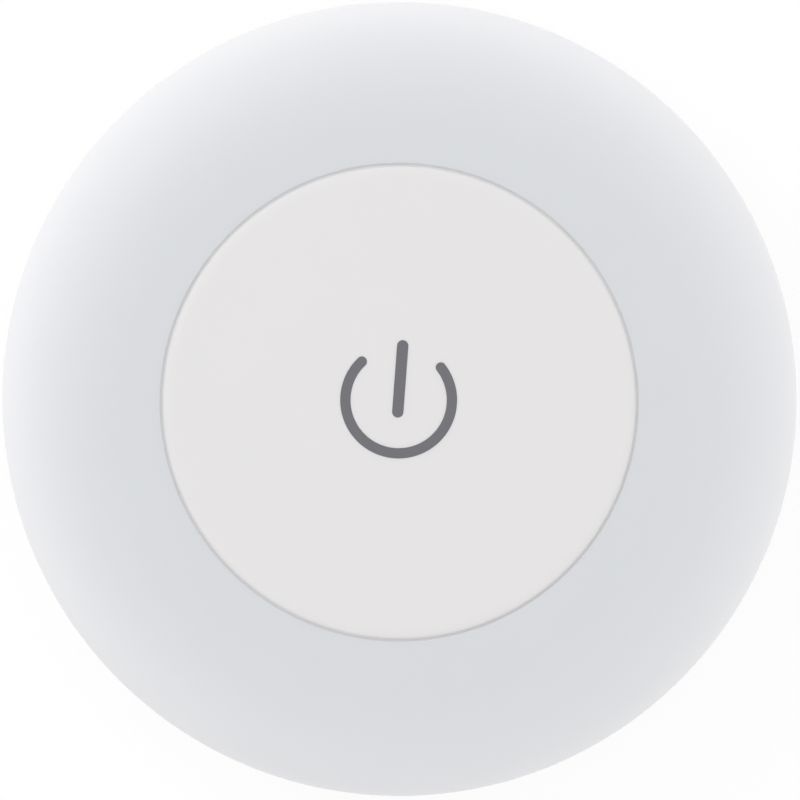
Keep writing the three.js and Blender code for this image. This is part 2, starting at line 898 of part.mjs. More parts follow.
// A square plate with cut corners.
function chamferedSquare(size, corner, bottom, top) {
  const half = size / 2;
  const inner = half - corner;
  const corners = [
    [inner, -half],
    [half, -inner],
    [half, inner],
    [inner, half],
    [-inner, half],
    [-half, inner],
    [-half, -inner],
    [-inner, -half],
  ];
  return prism(new THREE.Shape(corners.map(([x, y]) => new THREE.Vector2(x, y))), bottom, top);
}

// One cell, standing on its flat end.
function cell() {
  const canTop = cellLength - cellNubHeight;
  return revolve(
    [
      [0, cellFootDepth],
      [cellFootRadius, cellFootDepth],
      [cellFootRadius, 0],
      [cellRadius - cellShoulder, 0],
      [cellRadius, cellShoulder],
      [cellRadius, canTop - cellShoulder],
      [cellRadius - cellShoulder, canTop],
      [cellNubRadius, canTop],
      [cellNubRadius, cellLength],
      [0, cellLength],
    ],
    cellFacets,
  );
}

// A helix about Z that rises from 0 to its length while its radius changes evenly. It starts above the
// middle line, so that a coil's foot stands on the plate that carries it.
class Helix extends THREE.Curve {
  constructor(footRadius, tipRadius, length, turns) {
    super();
    Object.assign(this, { footRadius, tipRadius, length, turns });
  }

  getPoint(share, target = new THREE.Vector3()) {
    const reach = this.footRadius + (this.tipRadius - this.footRadius) * share;
    const [x, y] = polar(reach, coilStartAngle + 360 * this.turns * share);
    return target.set(x, y, this.length * share);
  }
}

// A wire wound along a helix, as one unbroken tube. It prints the least gap between its turns.
function coil(name, helix, wireRadius) {
  const steps = Math.round(curlSteps * helix.turns);
  const section = new THREE.Shape(circlePoints(wireRadius, wireSides));
  const tube = new THREE.ExtrudeGeometry(section, { steps, extrudePath: helix });
  const points = helix.getPoints(steps);
  let nearest = Infinity;
  points.forEach((point, index) => {
    for (const other of points.slice(index + curlSteps / 2)) {
      nearest = Math.min(nearest, point.distanceTo(other));
    }
  });
  console.log(`${name}: least gap between turns ${(nearest - 2 * wireRadius).toFixed(2)} mm`);
  return solid(tube);
}

// The spring that lifts the button, between the hub and the button's plate.
function buttonSpring() {
  const foot = cupFloorTop + seatGap + springWireRadius;
  const top = buttonUnder - seatGap - springWireRadius;
  const helix = new Helix(springRadius, springRadius, top - foot, springTurns);
  return coil('button spring', helix, springWireRadius).translate([0, 0, foot]);
}

// A contact plate against the tray's end wall at +Y, from one X to another.
function contactPlate(x0, x1) {
  return block(
    [x0, contactFace, cellMiddle - contactHeight / 2],
    [x1, contactFace + contactThickness, cellMiddle + contactHeight / 2],
  );
}

// The raised spot that meets a cell's nub.
function contactBump(x) {
  const bump = post(bumpRadius, [0, 0], -root / 2, bumpHeight, smallFacets);
  return bump.rotate([90, 0, 0]).translate([x, contactFace, cellMiddle]);
}

// The tapered spring that meets a cell's flat end.
function contactSpring(name, x) {
  const helix = new Helix(
    contactCoilFoot,
    contactCoilTip,
    contactCoilLength - contactWireRadius,
    contactCoilTurns,
  );
  return coil(name, helix, contactWireRadius)
    .rotate([90, 0, 0])
    .translate([x, contactFace, cellMiddle]);
}

// The tab of an end contact, up through the deck and the board.
function contactTab() {
  return block(
    [tabPlace - tabWidth / 2, contactFace, cellMiddle],
    [tabPlace + tabWidth / 2, contactFace + contactThickness, tabTop],
  );
}

// The single contact at one end of the tray, with a bump or a spring.
function endContact(touch) {
  return joined([contactPlate(contactInnerEdge, contactOuterEdge), contactTab(), touch]);
}

// The double contact that links two cells.
function bridgeContact(bumpPlace, springPlace, name) {
  return joined([
    contactPlate(-contactOuterEdge, bridgeInnerEdge),
    contactBump(bumpPlace),
    contactSpring(name, springPlace),
  ]);
}

// A pan-head screw with a cross recess, its head standing on height 0.
function screw(length) {
  const slot = block(
    [-driveLength / 2, -driveWidth / 2, screwHeadHeight - driveDepth],
    [driveLength / 2, driveWidth / 2, screwHeadHeight + overrun],
  );
  const turned = revolve(
    [
      [0, -length],
      [screwShankRadius - screwTip, -length],
      [screwShankRadius, screwTip - length],
      [screwShankRadius, 0],
      [screwHeadRadius, 0],
      [screwHeadRadius, screwHeadHeight - screwHeadCrown],
      [screwHeadRadius - screwHeadCrown, screwHeadHeight],
      [0, screwHeadHeight],
    ],
    smallFacets,
  );
  return cutBy(turned, [slot, slot.rotate([0, 0, 90])]);
}

// Finishes of the pieces
const finishes = {
  whiteShell: { color: 0xf1f1ef, roughness: 0.45 },
  frosted: { color: 0xe2e6ea, roughness: 0.5 },
  button: { color: 0xeeeeec, roughness: 0.55 },
  foam: { color: 0xd9d9d6, roughness: 0.95 },
  innerWhite: { color: 0xf4f4f2, roughness: 0.5 },
  board: { color: 0xf5f5f0, roughness: 0.4 },
  ledPackage: { color: 0xf3e7a8, roughness: 0.4 },
  blackPlastic: { color: 0x1d1d1f, roughness: 0.5 },
  resistor: { color: 0x24242a, roughness: 0.4 },
  capacitor: { color: 0xb08d63, roughness: 0.5 },
  nickel: { color: 0xc9c7c0, roughness: 0.3, metalness: 1 },
  springSteel: { color: 0xb9babd, roughness: 0.3, metalness: 1 },
  screwSteel: { color: 0xa9abb0, roughness: 0.35, metalness: 1 },
  cellJacket: { color: 0x8f979d, roughness: 0.35, metalness: 0.6 },
};

// A named mesh of a solid or a ready geometry.
function piece(name, body, finish) {
  const geometry = body.isBufferGeometry ? body : geometryOf(body);
  const mesh = new THREE.Mesh(geometry, new THREE.MeshStandardMaterial(finishes[finish]));
  mesh.name = name;
  return mesh;
}

// A group turned about Z and lifted, holding some meshes.
function placed(meshes, { place = [0, 0], height = 0, angle = 0 }) {
  const group = new THREE.Group();
  group.position.set(...place, height);
  group.rotation.z = radians(angle);
  group.add(...meshes);
  return group;
}

// What stays on the cabinet.
function baseGroup() {
  const pad = post(padRadius, [0, 0], 0, padThickness, wideFacets);
  const group = new THREE.Group();
  group.add(
    piece('mounting_base', mountingBase(), 'whiteShell'),
    piece('adhesive_pad', pad, 'foam'),
  );
  return group;
}

// The light sources, in a circle under the ring.
function ledMeshes() {
  const shape = geometryOf(ledPackage());
  return around(ledCount).map((angle, index) =>
    placed([piece(`led_${index + 1}`, shape, 'ledPackage')], {
      place: polar(ledReach, angle),
      height: boardTop + seatGap,
      angle,
    }),
  );
}

// The chip, the capacitor and the resistors, each between two spokes of the cup.
function smallParts() {
  const height = boardTop + seatGap;
  const resistorShape = geometryOf(standingBox(resistorSize));
  const resistors = Array.from({ length: resistorCount }, (_, index) => {
    const mesh = piece(`resistor_${index + 1}`, resistorShape, 'resistor');
    mesh.position.y = (index - (resistorCount - 1) / 2) * resistorPitch;
    return mesh;
  });
  const spots = [
    [45, [piece('control_chip', controlChip(), 'blackPlastic')]],
    [135, [piece('capacitor_1', standingBox(capacitorSize), 'capacitor')]],
    [225, resistors],
  ];
  return spots.map(([angle, meshes]) =>
    placed(meshes, { place: polar(partsReach, angle), height, angle }),
  );
}

// The push switch in the middle of the board.
function switchMeshes() {
  return [
    placed([piece('switch_body', switchBody(), 'blackPlastic')], { height: switchBottom }),
    placed(
      [
        piece('switch_cover', switchCover(), 'nickel'),
        piece('switch_plunger', switchPlunger(), 'blackPlastic'),
      ],
      { height: switchCoverBottom },
    ),
  ];
}

// The three cells, the middle one the other way round.
function cellMeshes() {
  const shape = geometryOf(cell());
  return [-cellPitch, 0, cellPitch].map((x, index) => {
    const way = index === 1 ? -1 : 1;
    const mesh = piece(`aaa_cell_${index + 1}`, shape, 'cellJacket');
    mesh.position.set(x, way * (cellOffset - cellLength / 2), cellMiddle);
    mesh.rotation.x = (-way * Math.PI) / 2;
    return mesh;
  });
}

// The four battery contacts, two at each end of the tray.
function contactMeshes() {
  const far = [
    piece('positive_contact', endContact(contactBump(cellPitch)), 'nickel'),
    piece('bridge_contact_1', bridgeContact(-cellPitch, 0, 'bridge contact 1'), 'nickel'),
  ];
  const near = [
    piece('negative_contact', endContact(contactSpring('negative contact', cellPitch)), 'nickel'),
    piece('bridge_contact_2', bridgeContact(0, -cellPitch, 'bridge contact 2'), 'nickel'),
  ];
  return [placed(far, {}), placed(near, { angle: 180 })];
}

// The screws that hold the cup and the board.
function screwMeshes() {
  const long = geometryOf(screw(frameScrewLength));
  const short = geometryOf(screw(boardScrewLength));
  return [
    ...frameScrewPlaces.map((place, index) =>
      placed([piece(`frame_screw_${index + 1}`, long, 'screwSteel')], {
        place,
        height: frameScrewSeat,
      }),
    ),
    ...boardScrewPlaces.map((place, index) =>
      placed([piece(`board_screw_${index + 1}`, short, 'screwSteel')], {
        place,
        height: boardScrewSeat,
      }),
    ),
  ];
}

// What twists on and off the back plate.
function lightGroup() {
  const group = new THREE.Group();
  group.add(
    piece('rear_housing', rearHousing(), 'whiteShell'),
    piece('diffuser_ring', diffuserRing(), 'frosted'),
    piece('circuit_board', circuitBoard(), 'board'),
    piece('button_frame', buttonFrame(), 'innerWhite'),
    piece('button_spring', buttonSpring(), 'springSteel'),
    piece('button_cap', buttonCap(), 'button'),
    ...ledMeshes(),
    ...smallParts(),
    ...switchMeshes(),
    ...cellMeshes(),
    ...contactMeshes(),
    ...screwMeshes(),
  );
  return group;
}

const light = new THREE.Group();
light.add(baseGroup(), lightGroup());

export default light;
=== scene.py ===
"""A round battery light for the underside of a cabinet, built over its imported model.

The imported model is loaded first, and every piece made here stands where its node stands. A piece
is modelled in millimetres and brought to metres when it is finished. The origin is the middle of
the back, +Z points out of the front through the button, and +Y to the top of the sign on it.
"""

import json
import math

import bmesh
import bpy
from mathutils import Matrix, Vector


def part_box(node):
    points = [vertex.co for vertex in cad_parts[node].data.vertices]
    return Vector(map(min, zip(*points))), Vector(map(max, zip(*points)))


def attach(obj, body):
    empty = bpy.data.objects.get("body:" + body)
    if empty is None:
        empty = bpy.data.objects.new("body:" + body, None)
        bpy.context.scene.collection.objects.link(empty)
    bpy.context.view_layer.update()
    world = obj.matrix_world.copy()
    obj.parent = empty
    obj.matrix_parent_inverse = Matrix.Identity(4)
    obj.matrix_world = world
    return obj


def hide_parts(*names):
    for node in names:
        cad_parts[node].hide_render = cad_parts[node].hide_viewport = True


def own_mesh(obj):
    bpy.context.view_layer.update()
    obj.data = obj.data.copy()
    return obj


bl_info = {
    "name": "Round Cabinet Light",
    "version": (1, 0, 0),
    "blender": (4, 5, 0),
    "location": "3D Viewport > Sidebar > Cabinet Light",
    "description": "Builds the pieces, finishes and studio of a round battery light",
    "category": "Object",
}

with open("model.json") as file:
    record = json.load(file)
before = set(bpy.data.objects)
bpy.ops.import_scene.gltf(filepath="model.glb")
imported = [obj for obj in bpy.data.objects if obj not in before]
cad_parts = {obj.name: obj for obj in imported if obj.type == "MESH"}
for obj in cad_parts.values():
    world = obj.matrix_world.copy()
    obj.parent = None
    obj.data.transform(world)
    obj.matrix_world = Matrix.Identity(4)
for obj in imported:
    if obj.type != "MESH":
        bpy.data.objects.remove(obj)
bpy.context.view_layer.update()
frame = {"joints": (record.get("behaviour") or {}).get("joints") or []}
joints = {joint["name"]: joint for joint in frame["joints"]}

MM = 0.001


def low(node):
    """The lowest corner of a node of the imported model, in millimetres."""
    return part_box(node)[0] / MM


def high(node):
    """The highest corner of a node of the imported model, in millimetres."""
    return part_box(node)[1] / MM


def heights(node):
    """The lowest and the highest point of a node, in millimetres."""
    return low(node).z, high(node).z


# How finely round shapes are cut, in facets and in degrees
WIDE = 240
MEDIUM = 96
SMALL = 40
WIRE = 12
COIL_STEPS = 32
FILLET_STEPS = 8
EDGE_STEPS = 4
DOME_STEPS = 56
OUTLINE_ANGLE = 4
ARC_ANGLE = 1.5
ARC_FACETS = 4
SHARP_ANGLE = 32
MERGE = 1e-4

# Where a profile's corner points, as the angle at which its rounding starts
OUT_DOWN = -90
OUT_UP = 0
IN_UP = 90

# Where pieces repeat round the axis
QUARTERS = (0, 90, 180, 270)
DIAGONALS = (45, 135, 225, 315)
BOTH_ENDS = (0, 180)

# Clearances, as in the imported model
SEAT_GAP = 0.1
FIT_GAP = 0.2
SLIDE_GAP = 0.25

# How far joined forms run into each other, and how far a cut runs past a face
ROOT = 0.5
OVERRUN = 1.0

# Ring
BODY_RADIUS = high("diffuser_ring").x
RING_BOTTOM, FRONT_TOP = heights("diffuser_ring")
RING_WALL = 1.8
RING_FOOT_FILLET = 0.35
HOLE_RADIUS = 23.9
LIP_FILLET = 0.1
LIP_STEP_RADIUS = 23.77
LIP_STEP_DROP = 0.01
DOME_FOOT = 13.5
SNAP_WIDTH = 12
SNAP_FACETS = 8
SNAP_REACH = 0.9
SNAP_BOTTOM = 12.4
SNAP_TOP = 13.4
SNAP_PLAY = 1

# Button
BUTTON_RADIUS = high("button_cap").x
HOOK_BOTTOM, BUTTON_TOP = heights("button_cap")
BUTTON_WALL = 1.6
BUTTON_SKIRT = 1.4
BUTTON_STEPS = 12
SHOULDER_RADIUS = LIP_STEP_RADIUS - 0.006
SHOULDER_TOP = BUTTON_TOP - 0.48
SHOULDER_BOTTOM = BUTTON_TOP - 1.4
SHOULDER_SLOPE = 0.2
SHOULDER_EDGE = 0.03
HOOK_WIDTH = 17
HOOK_FACETS = 12
HOOK_RADIUS = 24.55
HOOK_HEIGHT = 1.2
HOOK_SLIT = 0.8
HOOK_PLAY = 1.5
RIB_COUNT = 8
RIB_START = 8.55
RIB_WIDTH = 1.0
RIB_DEPTH = 1.2
STEM_RADIUS = 2.6
STEM_BOTTOM = 21.2
PRESS_TRAVEL = joints["button_press"]["range_m"][1] / MM

# Rear housing
HOUSING_BACK, KEY_TOP = heights("rear_housing")
PARTING_HEIGHT = 11.2
PARTING_EDGE = 0.15
HOUSING_DRAFT = 1.2
HOUSING_FILLET = 1.2
BORE_RADIUS = 36.6
BORE_EDGE = 0.4
TONGUE_RADIUS = 38.0
DECK_BOTTOM = 13.4
DECK_TOP = 14.6
SEAT_TOP = 15.4
SEAT_RADII = (31.8, 33.0)
SEAT_WIDTH = 28
KEY_WIDTH = 2.6
KEY_INNER = 32.7
KEY_EDGE = 0.2
LEDGE_RADIUS = 35.2
LEDGE_BOTTOM = 2.5
LEDGE_TOP = 4.2
LUG_ANGLES = (90, 210, 330)
LEDGE_MIDDLE = 35
LEDGE_WIDTH = 98
STOP_PLACES = (11, -36)
STOP_WIDTH = 5
BOSS_RADIUS = 2.2
BOSS_FLOOR = 0.8
PILOT_RADIUS = 1.1

# Battery tray
TRAY_SIDE = 17.45
TRAY_END = 25.3
TRAY_WALL = 1.2
TRAY_BOTTOM = 3.0
TRAY_TRIM = 33.05
DIVIDER_WIDTH = 0.8
DIVIDER_BOTTOM = 5.35
CRADLE_PLACES = (-15, 0, 15)
CRADLE_WIDTH = 1.2
CRADLE_BOTTOM = 10.35
CRADLE_RADIUS = 5.55
KEEPER_END = 24.7
KEEPER_WIDTH = 3.0
KEEPER_THICKNESS = 0.7

# Cells, and which way each one's nub points along Y
CELL_WAYS = (1, -1, 1)
CELL_PITCH = 11.9
CELL_MIDDLE = 7.85
CELL_RADIUS = 5.25
CELL_FOOT_FILLET = 0.5
CELL_HEAD_FILLET = 0.35
CELL_RIM = 0.9
CELL_RIM_SLOPE = 0.2
CELL_GROOVE = 0.15
DIMPLE_RADIUS = 3.4
DIMPLE_DEPTH = 0.2
DIMPLE_SLOPE = 0.15
NUB_RADIUS = 1.9
NUB_HEIGHT = 0.8
NUB_SLOPE = 0.25
NUB_FILLET = 0.2

# Back plate and pad
PLATE_RADIUS = high("mounting_base").x
PLATE_BACK, LUG_TOP = heights("mounting_base")
PLATE_TOP = 2.0
PLATE_EDGE = 0.4
RECESS_TOP = 1.0
RECESS_RADIUS = 18.2
RECESS_EDGE = 0.1
PLATE_RIBS = (20, 10)
PLATE_RIB_HEIGHT = 0.3
PLATE_RIB_SHAPE = ((0.5, 0), (0.4, PLATE_RIB_HEIGHT), (-0.4, PLATE_RIB_HEIGHT), (-0.5, 0))
SKIRT_RADIUS = 34.95
SKIRT_INNER = 33.55
LUG_BOTTOM = 4.45
LUG_WIDTH = 16
SCREW_HOLES = (-27.5, 27.5)
SCREW_HOLE_RADIUS = 2.1
SCREW_SINK_RADIUS = 3.9
COLLAR_RADIUS = 4.9
COLLAR_TOP = 2.8
GRIP_RADII = (25, 32)
GRIP_DEPTH = 0.8
GRIP_WIDTH = 5
GRIP_PLACES = (-18, -9, 0, 9, 18)
GRIP_SIDES = (90, 270)
PAD_RADIUS = high("adhesive_pad").x
PAD_TOP = high("adhesive_pad").z
PAD_EDGE = 0.25
PAD_HOLLOW = 0.05

# Battery contacts
CONTACT_THICKNESS = 0.4
CONTACT_BACK = high("positive_contact").y
CONTACT_FACE = CONTACT_BACK - CONTACT_THICKNESS
CONTACT_HEIGHT = 8
CONTACT_EDGE = 0.08
END_SPAN = (low("positive_contact").x, high("positive_contact").x)
BRIDGE_SPAN = (-END_SPAN[1], high("bridge_contact_1").x)
BUMP_RADIUS = 2.4
BUMP_HEIGHT = 0.5
BUMP_STEPS = 5
TAB_PLACE = 8.7
TAB_WIDTH = 2.4
TAB_TOP = high("positive_contact").z
CONTACT_COIL_FOOT = 3.4
CONTACT_COIL_TIP = 2.0
CONTACT_COIL_LENGTH = 3.95

# Wire of the springs
COIL_TURNS = 3
COIL_START = 90
WIRE_RADIUS = 0.25
SPRING_RADIUS = 7.3

# Cup
CUP_RADIUS = 23.85
CUP_OUTER = high("button_frame").x
CUP_BOTTOM, CUP_TOP = heights("button_frame")
CUP_FLOOR_TOP = 18.6
CUP_EDGE = 0.2
CUP_EDGE_STEPS = 3
SPOKE_WIDTH = 5.4
HUB_RADIUS = 9.0
HUB_BORE = 5.2
HUB_COLLAR_RADIUS = 6.1
HUB_COLLAR_TOP = 19.8

# Board
BOARD_RADIUS = high("circuit_board").x
BOARD_BOTTOM, BOARD_TOP = heights("circuit_board")
PARTS_BOTTOM = low("control_chip").z
PARTS_REACH = 16.425
TRACK_PITCH = 1.6
TRACK_RADII = (26.2, 33.2)
TRACK_EDGE = 0.2

# Light sources
LED_COUNT = 6
LED_REACH = 29.575
LED_SIZE = (2.8, 3.5, 0.8)
LED_EDGE = 0.08
LED_PAD = 0.1
LED_PAD_HEIGHT = 0.16
LED_PAD_EDGE = 0.02
LED_PAD_SHARE = 0.7
LED_CUP_RADIUS = 1.1
LED_CUP_SLOPE = 0.06
LED_CUP_FLARE = 0.1
LED_CUP_DEPTHS = (0.13, 0.1)

# Control chip, its legs given by their start beside its edge and their steps out and up
CHIP_ANGLE = 45
CHIP_SIZE = (3.9, 4.9, 1.5)
CHIP_EDGE = 0.12
CHIP_STAND = 0.12
CHIP_MARK_PLACE = 0.7
CHIP_MARK_RADIUS = 0.3
CHIP_MARK_DEPTH = 0.08
CHIP_LEG_PITCH = 1.27
CHIP_LEG_WIDTH = 0.4
CHIP_LEG_COUNT = 4
CHIP_LEG_START = (-0.25, 0.45)
CHIP_LEG_STEPS = (
    (0.65, 0),
    (0.15, -0.45),
    (0.45, 0),
    (0, 0.15),
    (-0.34, 0),
    (-0.15, 0.45),
    (-0.76, 0),
)

# Small capped parts
CAPACITOR_ANGLE = 135
CAPACITOR_SIZE = (3.2, 1.6, 1.3)
CAPACITOR_CAP = 0.4
RESISTOR_ANGLE = 225
RESISTOR_SIZE = (2.0, 1.25, 0.6)
RESISTOR_CAP = 0.3
RESISTOR_PLACES = (-2.4, 0, 2.4)
CAP_EDGE = 0.06
CAP_PROUD = 0.04
CAPPED_EDGE = 0.03

# Push switch
SWITCH_SIZE = 6.0
SWITCH_CORNER = 0.4
SWITCH_BOTTOM, SWITCH_TOP = heights("switch_body")
WELL_RADIUS = 2.45
WELL_DEPTH = 1.0
RIVET_RADIUS = 0.42
RIVET_PLACE = 2.3
RIVET_RISE = 0.12
RIVET_PLAY = 0.06
COVER_BOTTOM, COVER_TOP = heights("switch_cover")
PLUNGER_RADIUS = 1.75
PLUNGER_EDGE = 0.3
PLUNGER_BOTTOM, PLUNGER_TOP = heights("switch_plunger")
FLANGE_RADIUS = 2.25
FLANGE_HEIGHT = 0.5

# Screws
SCREWS = ("frame_screw_1", "frame_screw_2", "board_screw_1", "board_screw_2")
HEAD_RADIUS = 1.75
HEAD_HEIGHT = 1.2
HEAD_EDGE = 0.1
HEAD_FILLET = 0.7
CROSS_REACH = 1.0
CROSS_WIDTH = 0.5
CROSS_DEPTH = 0.7
SHANK_RADIUS = 0.8
TIP_RADIUS = 0.3
TIP_EDGE = 0.1
TIP_HEIGHT = 0.8
THREAD_PITCH = 0.7
THREAD_START = 0.9
THREAD_SPARE = 1.4
THREAD_RADIUS = 1.03
THREAD_SINK = 0.15
THREAD_ROOT = 0.32
THREAD_CREST = 0.04
THREAD_STEPS = 24

# Name, azimuth from +X, height above the horizon, distance and size in metres, and power in watts
LAMPS = (
    ("key_lamp", 140, 40, 0.9, 0.5, 1.12),
    ("side_lamp", 350, 14, 0.9, 0.35, 0.25),
)

# How far the view is moved right and up, as parts of the picture's width, and between which
# distances in metres the camera sees
PICTURE_SHIFT = (0.00055, -0.001)
CLIP = (0.05, 20.0)

# How soft the horizon is, and how closely the missing light keeps to the foot's side
HORIZON = 0.1
FOOT_POWER = 4

# The floor's reach in metres, and its height
FLOOR_REACH = 4.0
FLOOR_HEIGHT = -0.05

# Colours of the studio and of what the housing hides
WHITE = (1, 1, 1)
CUP_WHITE = (0.84, 0.84, 0.82)
SPRING_STEEL = (0.62, 0.62, 0.64)
ZINC = (0.6, 0.61, 0.63)
NICKEL = (0.72, 0.71, 0.67)
SHEET_STEEL = (0.66, 0.66, 0.65)
BLACK = (0.022, 0.022, 0.024)
MASK = (0.84, 0.84, 0.8)
TRACK = (0.8, 0.81, 0.76)
LAMINATE = (0.55, 0.47, 0.28)
PHOSPHOR = (0.9, 0.68, 0.09)
LED_WHITE = (0.86, 0.86, 0.82)
TIN = (0.7, 0.7, 0.7)
CHIP_LEG = (0.72, 0.71, 0.69)
CAPACITOR = (0.34, 0.19, 0.09)
RESISTOR = (0.012, 0.012, 0.014)
JACKET = (0.33, 0.36, 0.39)
JACKET_BAND = (0.06, 0.065, 0.075)
CELL_STEEL = (0.6, 0.6, 0.6)

# From where to where the jacket and its band run along a cell, and how softly they end
JACKET_SPAN = (-19.9, 22.7, 0.08)
BAND_SPAN = (11.0, 30.0, 0.06)

# How wide the line is where two finishes meet on a piece, in millimetres, and how closely the
# painted light on the ring, a lighter colour in place of light falling in, keeps to the rim
MEETING = 0.01
RIM_LIGHT_POWER = 3

# How far the roughness of moulded and of frosted plastic strays, and how much rougher the back
# plate is than the housing
MOULD_STRAY = 0.06
FROST_STRAY = 0.05
PLATE_MATT = 0.08

# The foam's pores: how wide they are, and how dark the painted shade in them is next to the foam
PORE_SIZE = 0.16
PORE_PAINTED_SHADE = 0.84

# Light spreads a little inside the pale plastics of the front
MILKY = {
    "Subsurface Weight": 0.25,
    "Subsurface Radius": (1.0, 1.0, 1.0),
    "Subsurface Scale": 1.2 * MM,
}


def number(name, description, default, **settings):
    """A property that holds a number."""
    return bpy.props.FloatProperty(name=name, description=description, default=default, **settings)


def length(name, description, default):
    """A length property, its default in millimetres."""
    settings = {"precision": 5, "unit": "LENGTH", "subtype": "DISTANCE"}
    return number(name, description, default * MM, min=0.0, **settings)


def share(name, description, default):
    """A property between 0 and 1."""
    return number(name, description, default, min=0.0, max=1.0, subtype="FACTOR")


def degrees(name, description, default):
    """An angle property, its default in degrees."""
    return number(name, description, math.radians(default), subtype="ANGLE")


def colour(name, description, default):
    """A colour property, in linear light."""
    return bpy.props.FloatVectorProperty(
        name=name,
        description=description,
        default=default,
        size=3,
        min=0.0,
        max=1.0,
        subtype="COLOR",
    )


class CabinetLightSizes(bpy.types.PropertyGroup):
    """Sizes of the visible forms."""

    dome_fullness: number(
        "Dome Fullness",
        "Exponent of the ring's curve: 2 is an ellipse, more makes a fuller shoulder",
        2.4,
        min=1.5,
        max=6.0,
    )
    button_edge: length("Button Edge", "Width of the curve along the button's edge", 1.0)
    button_drop: length("Button Drop", "How far the button's edge curves down", 0.35)
    sign_radius: length("Sign Radius", "Outer radius of the printed power sign", 5.84)
    sign_stroke: length("Sign Stroke", "Width of the sign's circle line", 1.03)
    sign_bar: length("Sign Bar", "Width of the sign's bar", 1.13)
    sign_lift: length("Sign Lift", "How far the sign is printed above the button's middle", 0.245)
    sign_left: length("Sign Left", "How far the sign is printed left of the button's middle", 0.09)
    sign_top: length("Sign Top", "How far the sign's bar reaches above the middle", 6.0)
    sign_foot: length("Sign Foot", "How far the sign's bar reaches below the middle", 1.75)
    sign_opening: degrees("Sign Opening", "Half the angle of the gap in the sign's circle", 48)
    print_height: length("Print Height", "Thickness of the printed ink", 0.02)


class CabinetLightFinishes(bpy.types.PropertyGroup):
    """Colours and gloss of the finishes."""

    # The ring's two colours hold painted shade, darker by the button, and painted light, lighter at
    # the rim
    ring_with_painted_shade: colour("Ring at the Button", "Frosted plastic by the button", (0.7, 0.715, 0.737))
    ring_with_painted_light: colour("Ring at the Rim", "Frosted plastic at the outer edge", (0.9, 0.9, 0.925))
    ring_roughness: share("Ring Roughness", "Roughness of the frosted plastic", 0.5)
    button: colour("Button", "Matt plastic of the button", (0.8, 0.787, 0.787))
    button_roughness: share("Button Roughness", "Roughness of the button", 0.6)
    sign: colour("Sign", "Ink of the power sign", (0.152, 0.149, 0.166))
    shell: colour("Shell", "Satin plastic of the housing and the back plate", (0.82, 0.82, 0.81))
    shell_roughness: share("Shell Roughness", "Roughness of the housing and the back plate", 0.38)
    foam: colour("Foam", "Foam of the sticky pad", (0.66, 0.66, 0.63))


class CabinetLightStudio(bpy.types.PropertyGroup):
    """Camera, lamps and floor."""

    camera_distance: length("Camera Distance", "From the middle of the light to the camera", 1200)
    camera_turn: degrees("Camera Turn", "Turn of the camera about its view", 4.3)
    camera_right: degrees("Camera Right", "How far the camera stands to the right", 0.11)
    camera_above: degrees("Camera Above", "How far the camera stands towards the sign's top", 1.83)
    camera_lens: number("Focal Length", "Of the camera, in millimetres", 536.0, unit="CAMERA")
    world_level: number("World Level", "Strength of the light from all around", 0.9)
    foot_shade: share("Foot Shade", "How much light is missing below, at the sign's foot", 0.85)
    foot_azimuth: degrees("Foot Azimuth", "The side from which that light is missing, from +X", 280)
    floor: colour("Floor", "Colour of the floor", (0.2, 0.2, 0.2))
    floor_glow: number("Floor Glow", "What the floor adds to its own colour in the picture", 0.81)


class Socket:
    """A node's output. Arithmetic on it adds Math nodes."""

    def __init__(self, graph, output):
        self.graph = graph
        self.output = output

    def __add__(self, other):
        return self.graph.math("ADD", self, other)

    def __sub__(self, other):
        return self.graph.math("SUBTRACT", self, other)

    def __rsub__(self, other):
        return self.graph.math("SUBTRACT", other, self)

    def __mul__(self, other):
        return self.graph.math("MULTIPLY", self, other)

    def __truediv__(self, other):
        return self.graph.math("DIVIDE", self, other)

    def __pow__(self, other):
        return self.graph.math("POWER", self, other)

    def __abs__(self):
        return self.graph.math("ABSOLUTE", self)

    __radd__ = __add__
    __rmul__ = __mul__


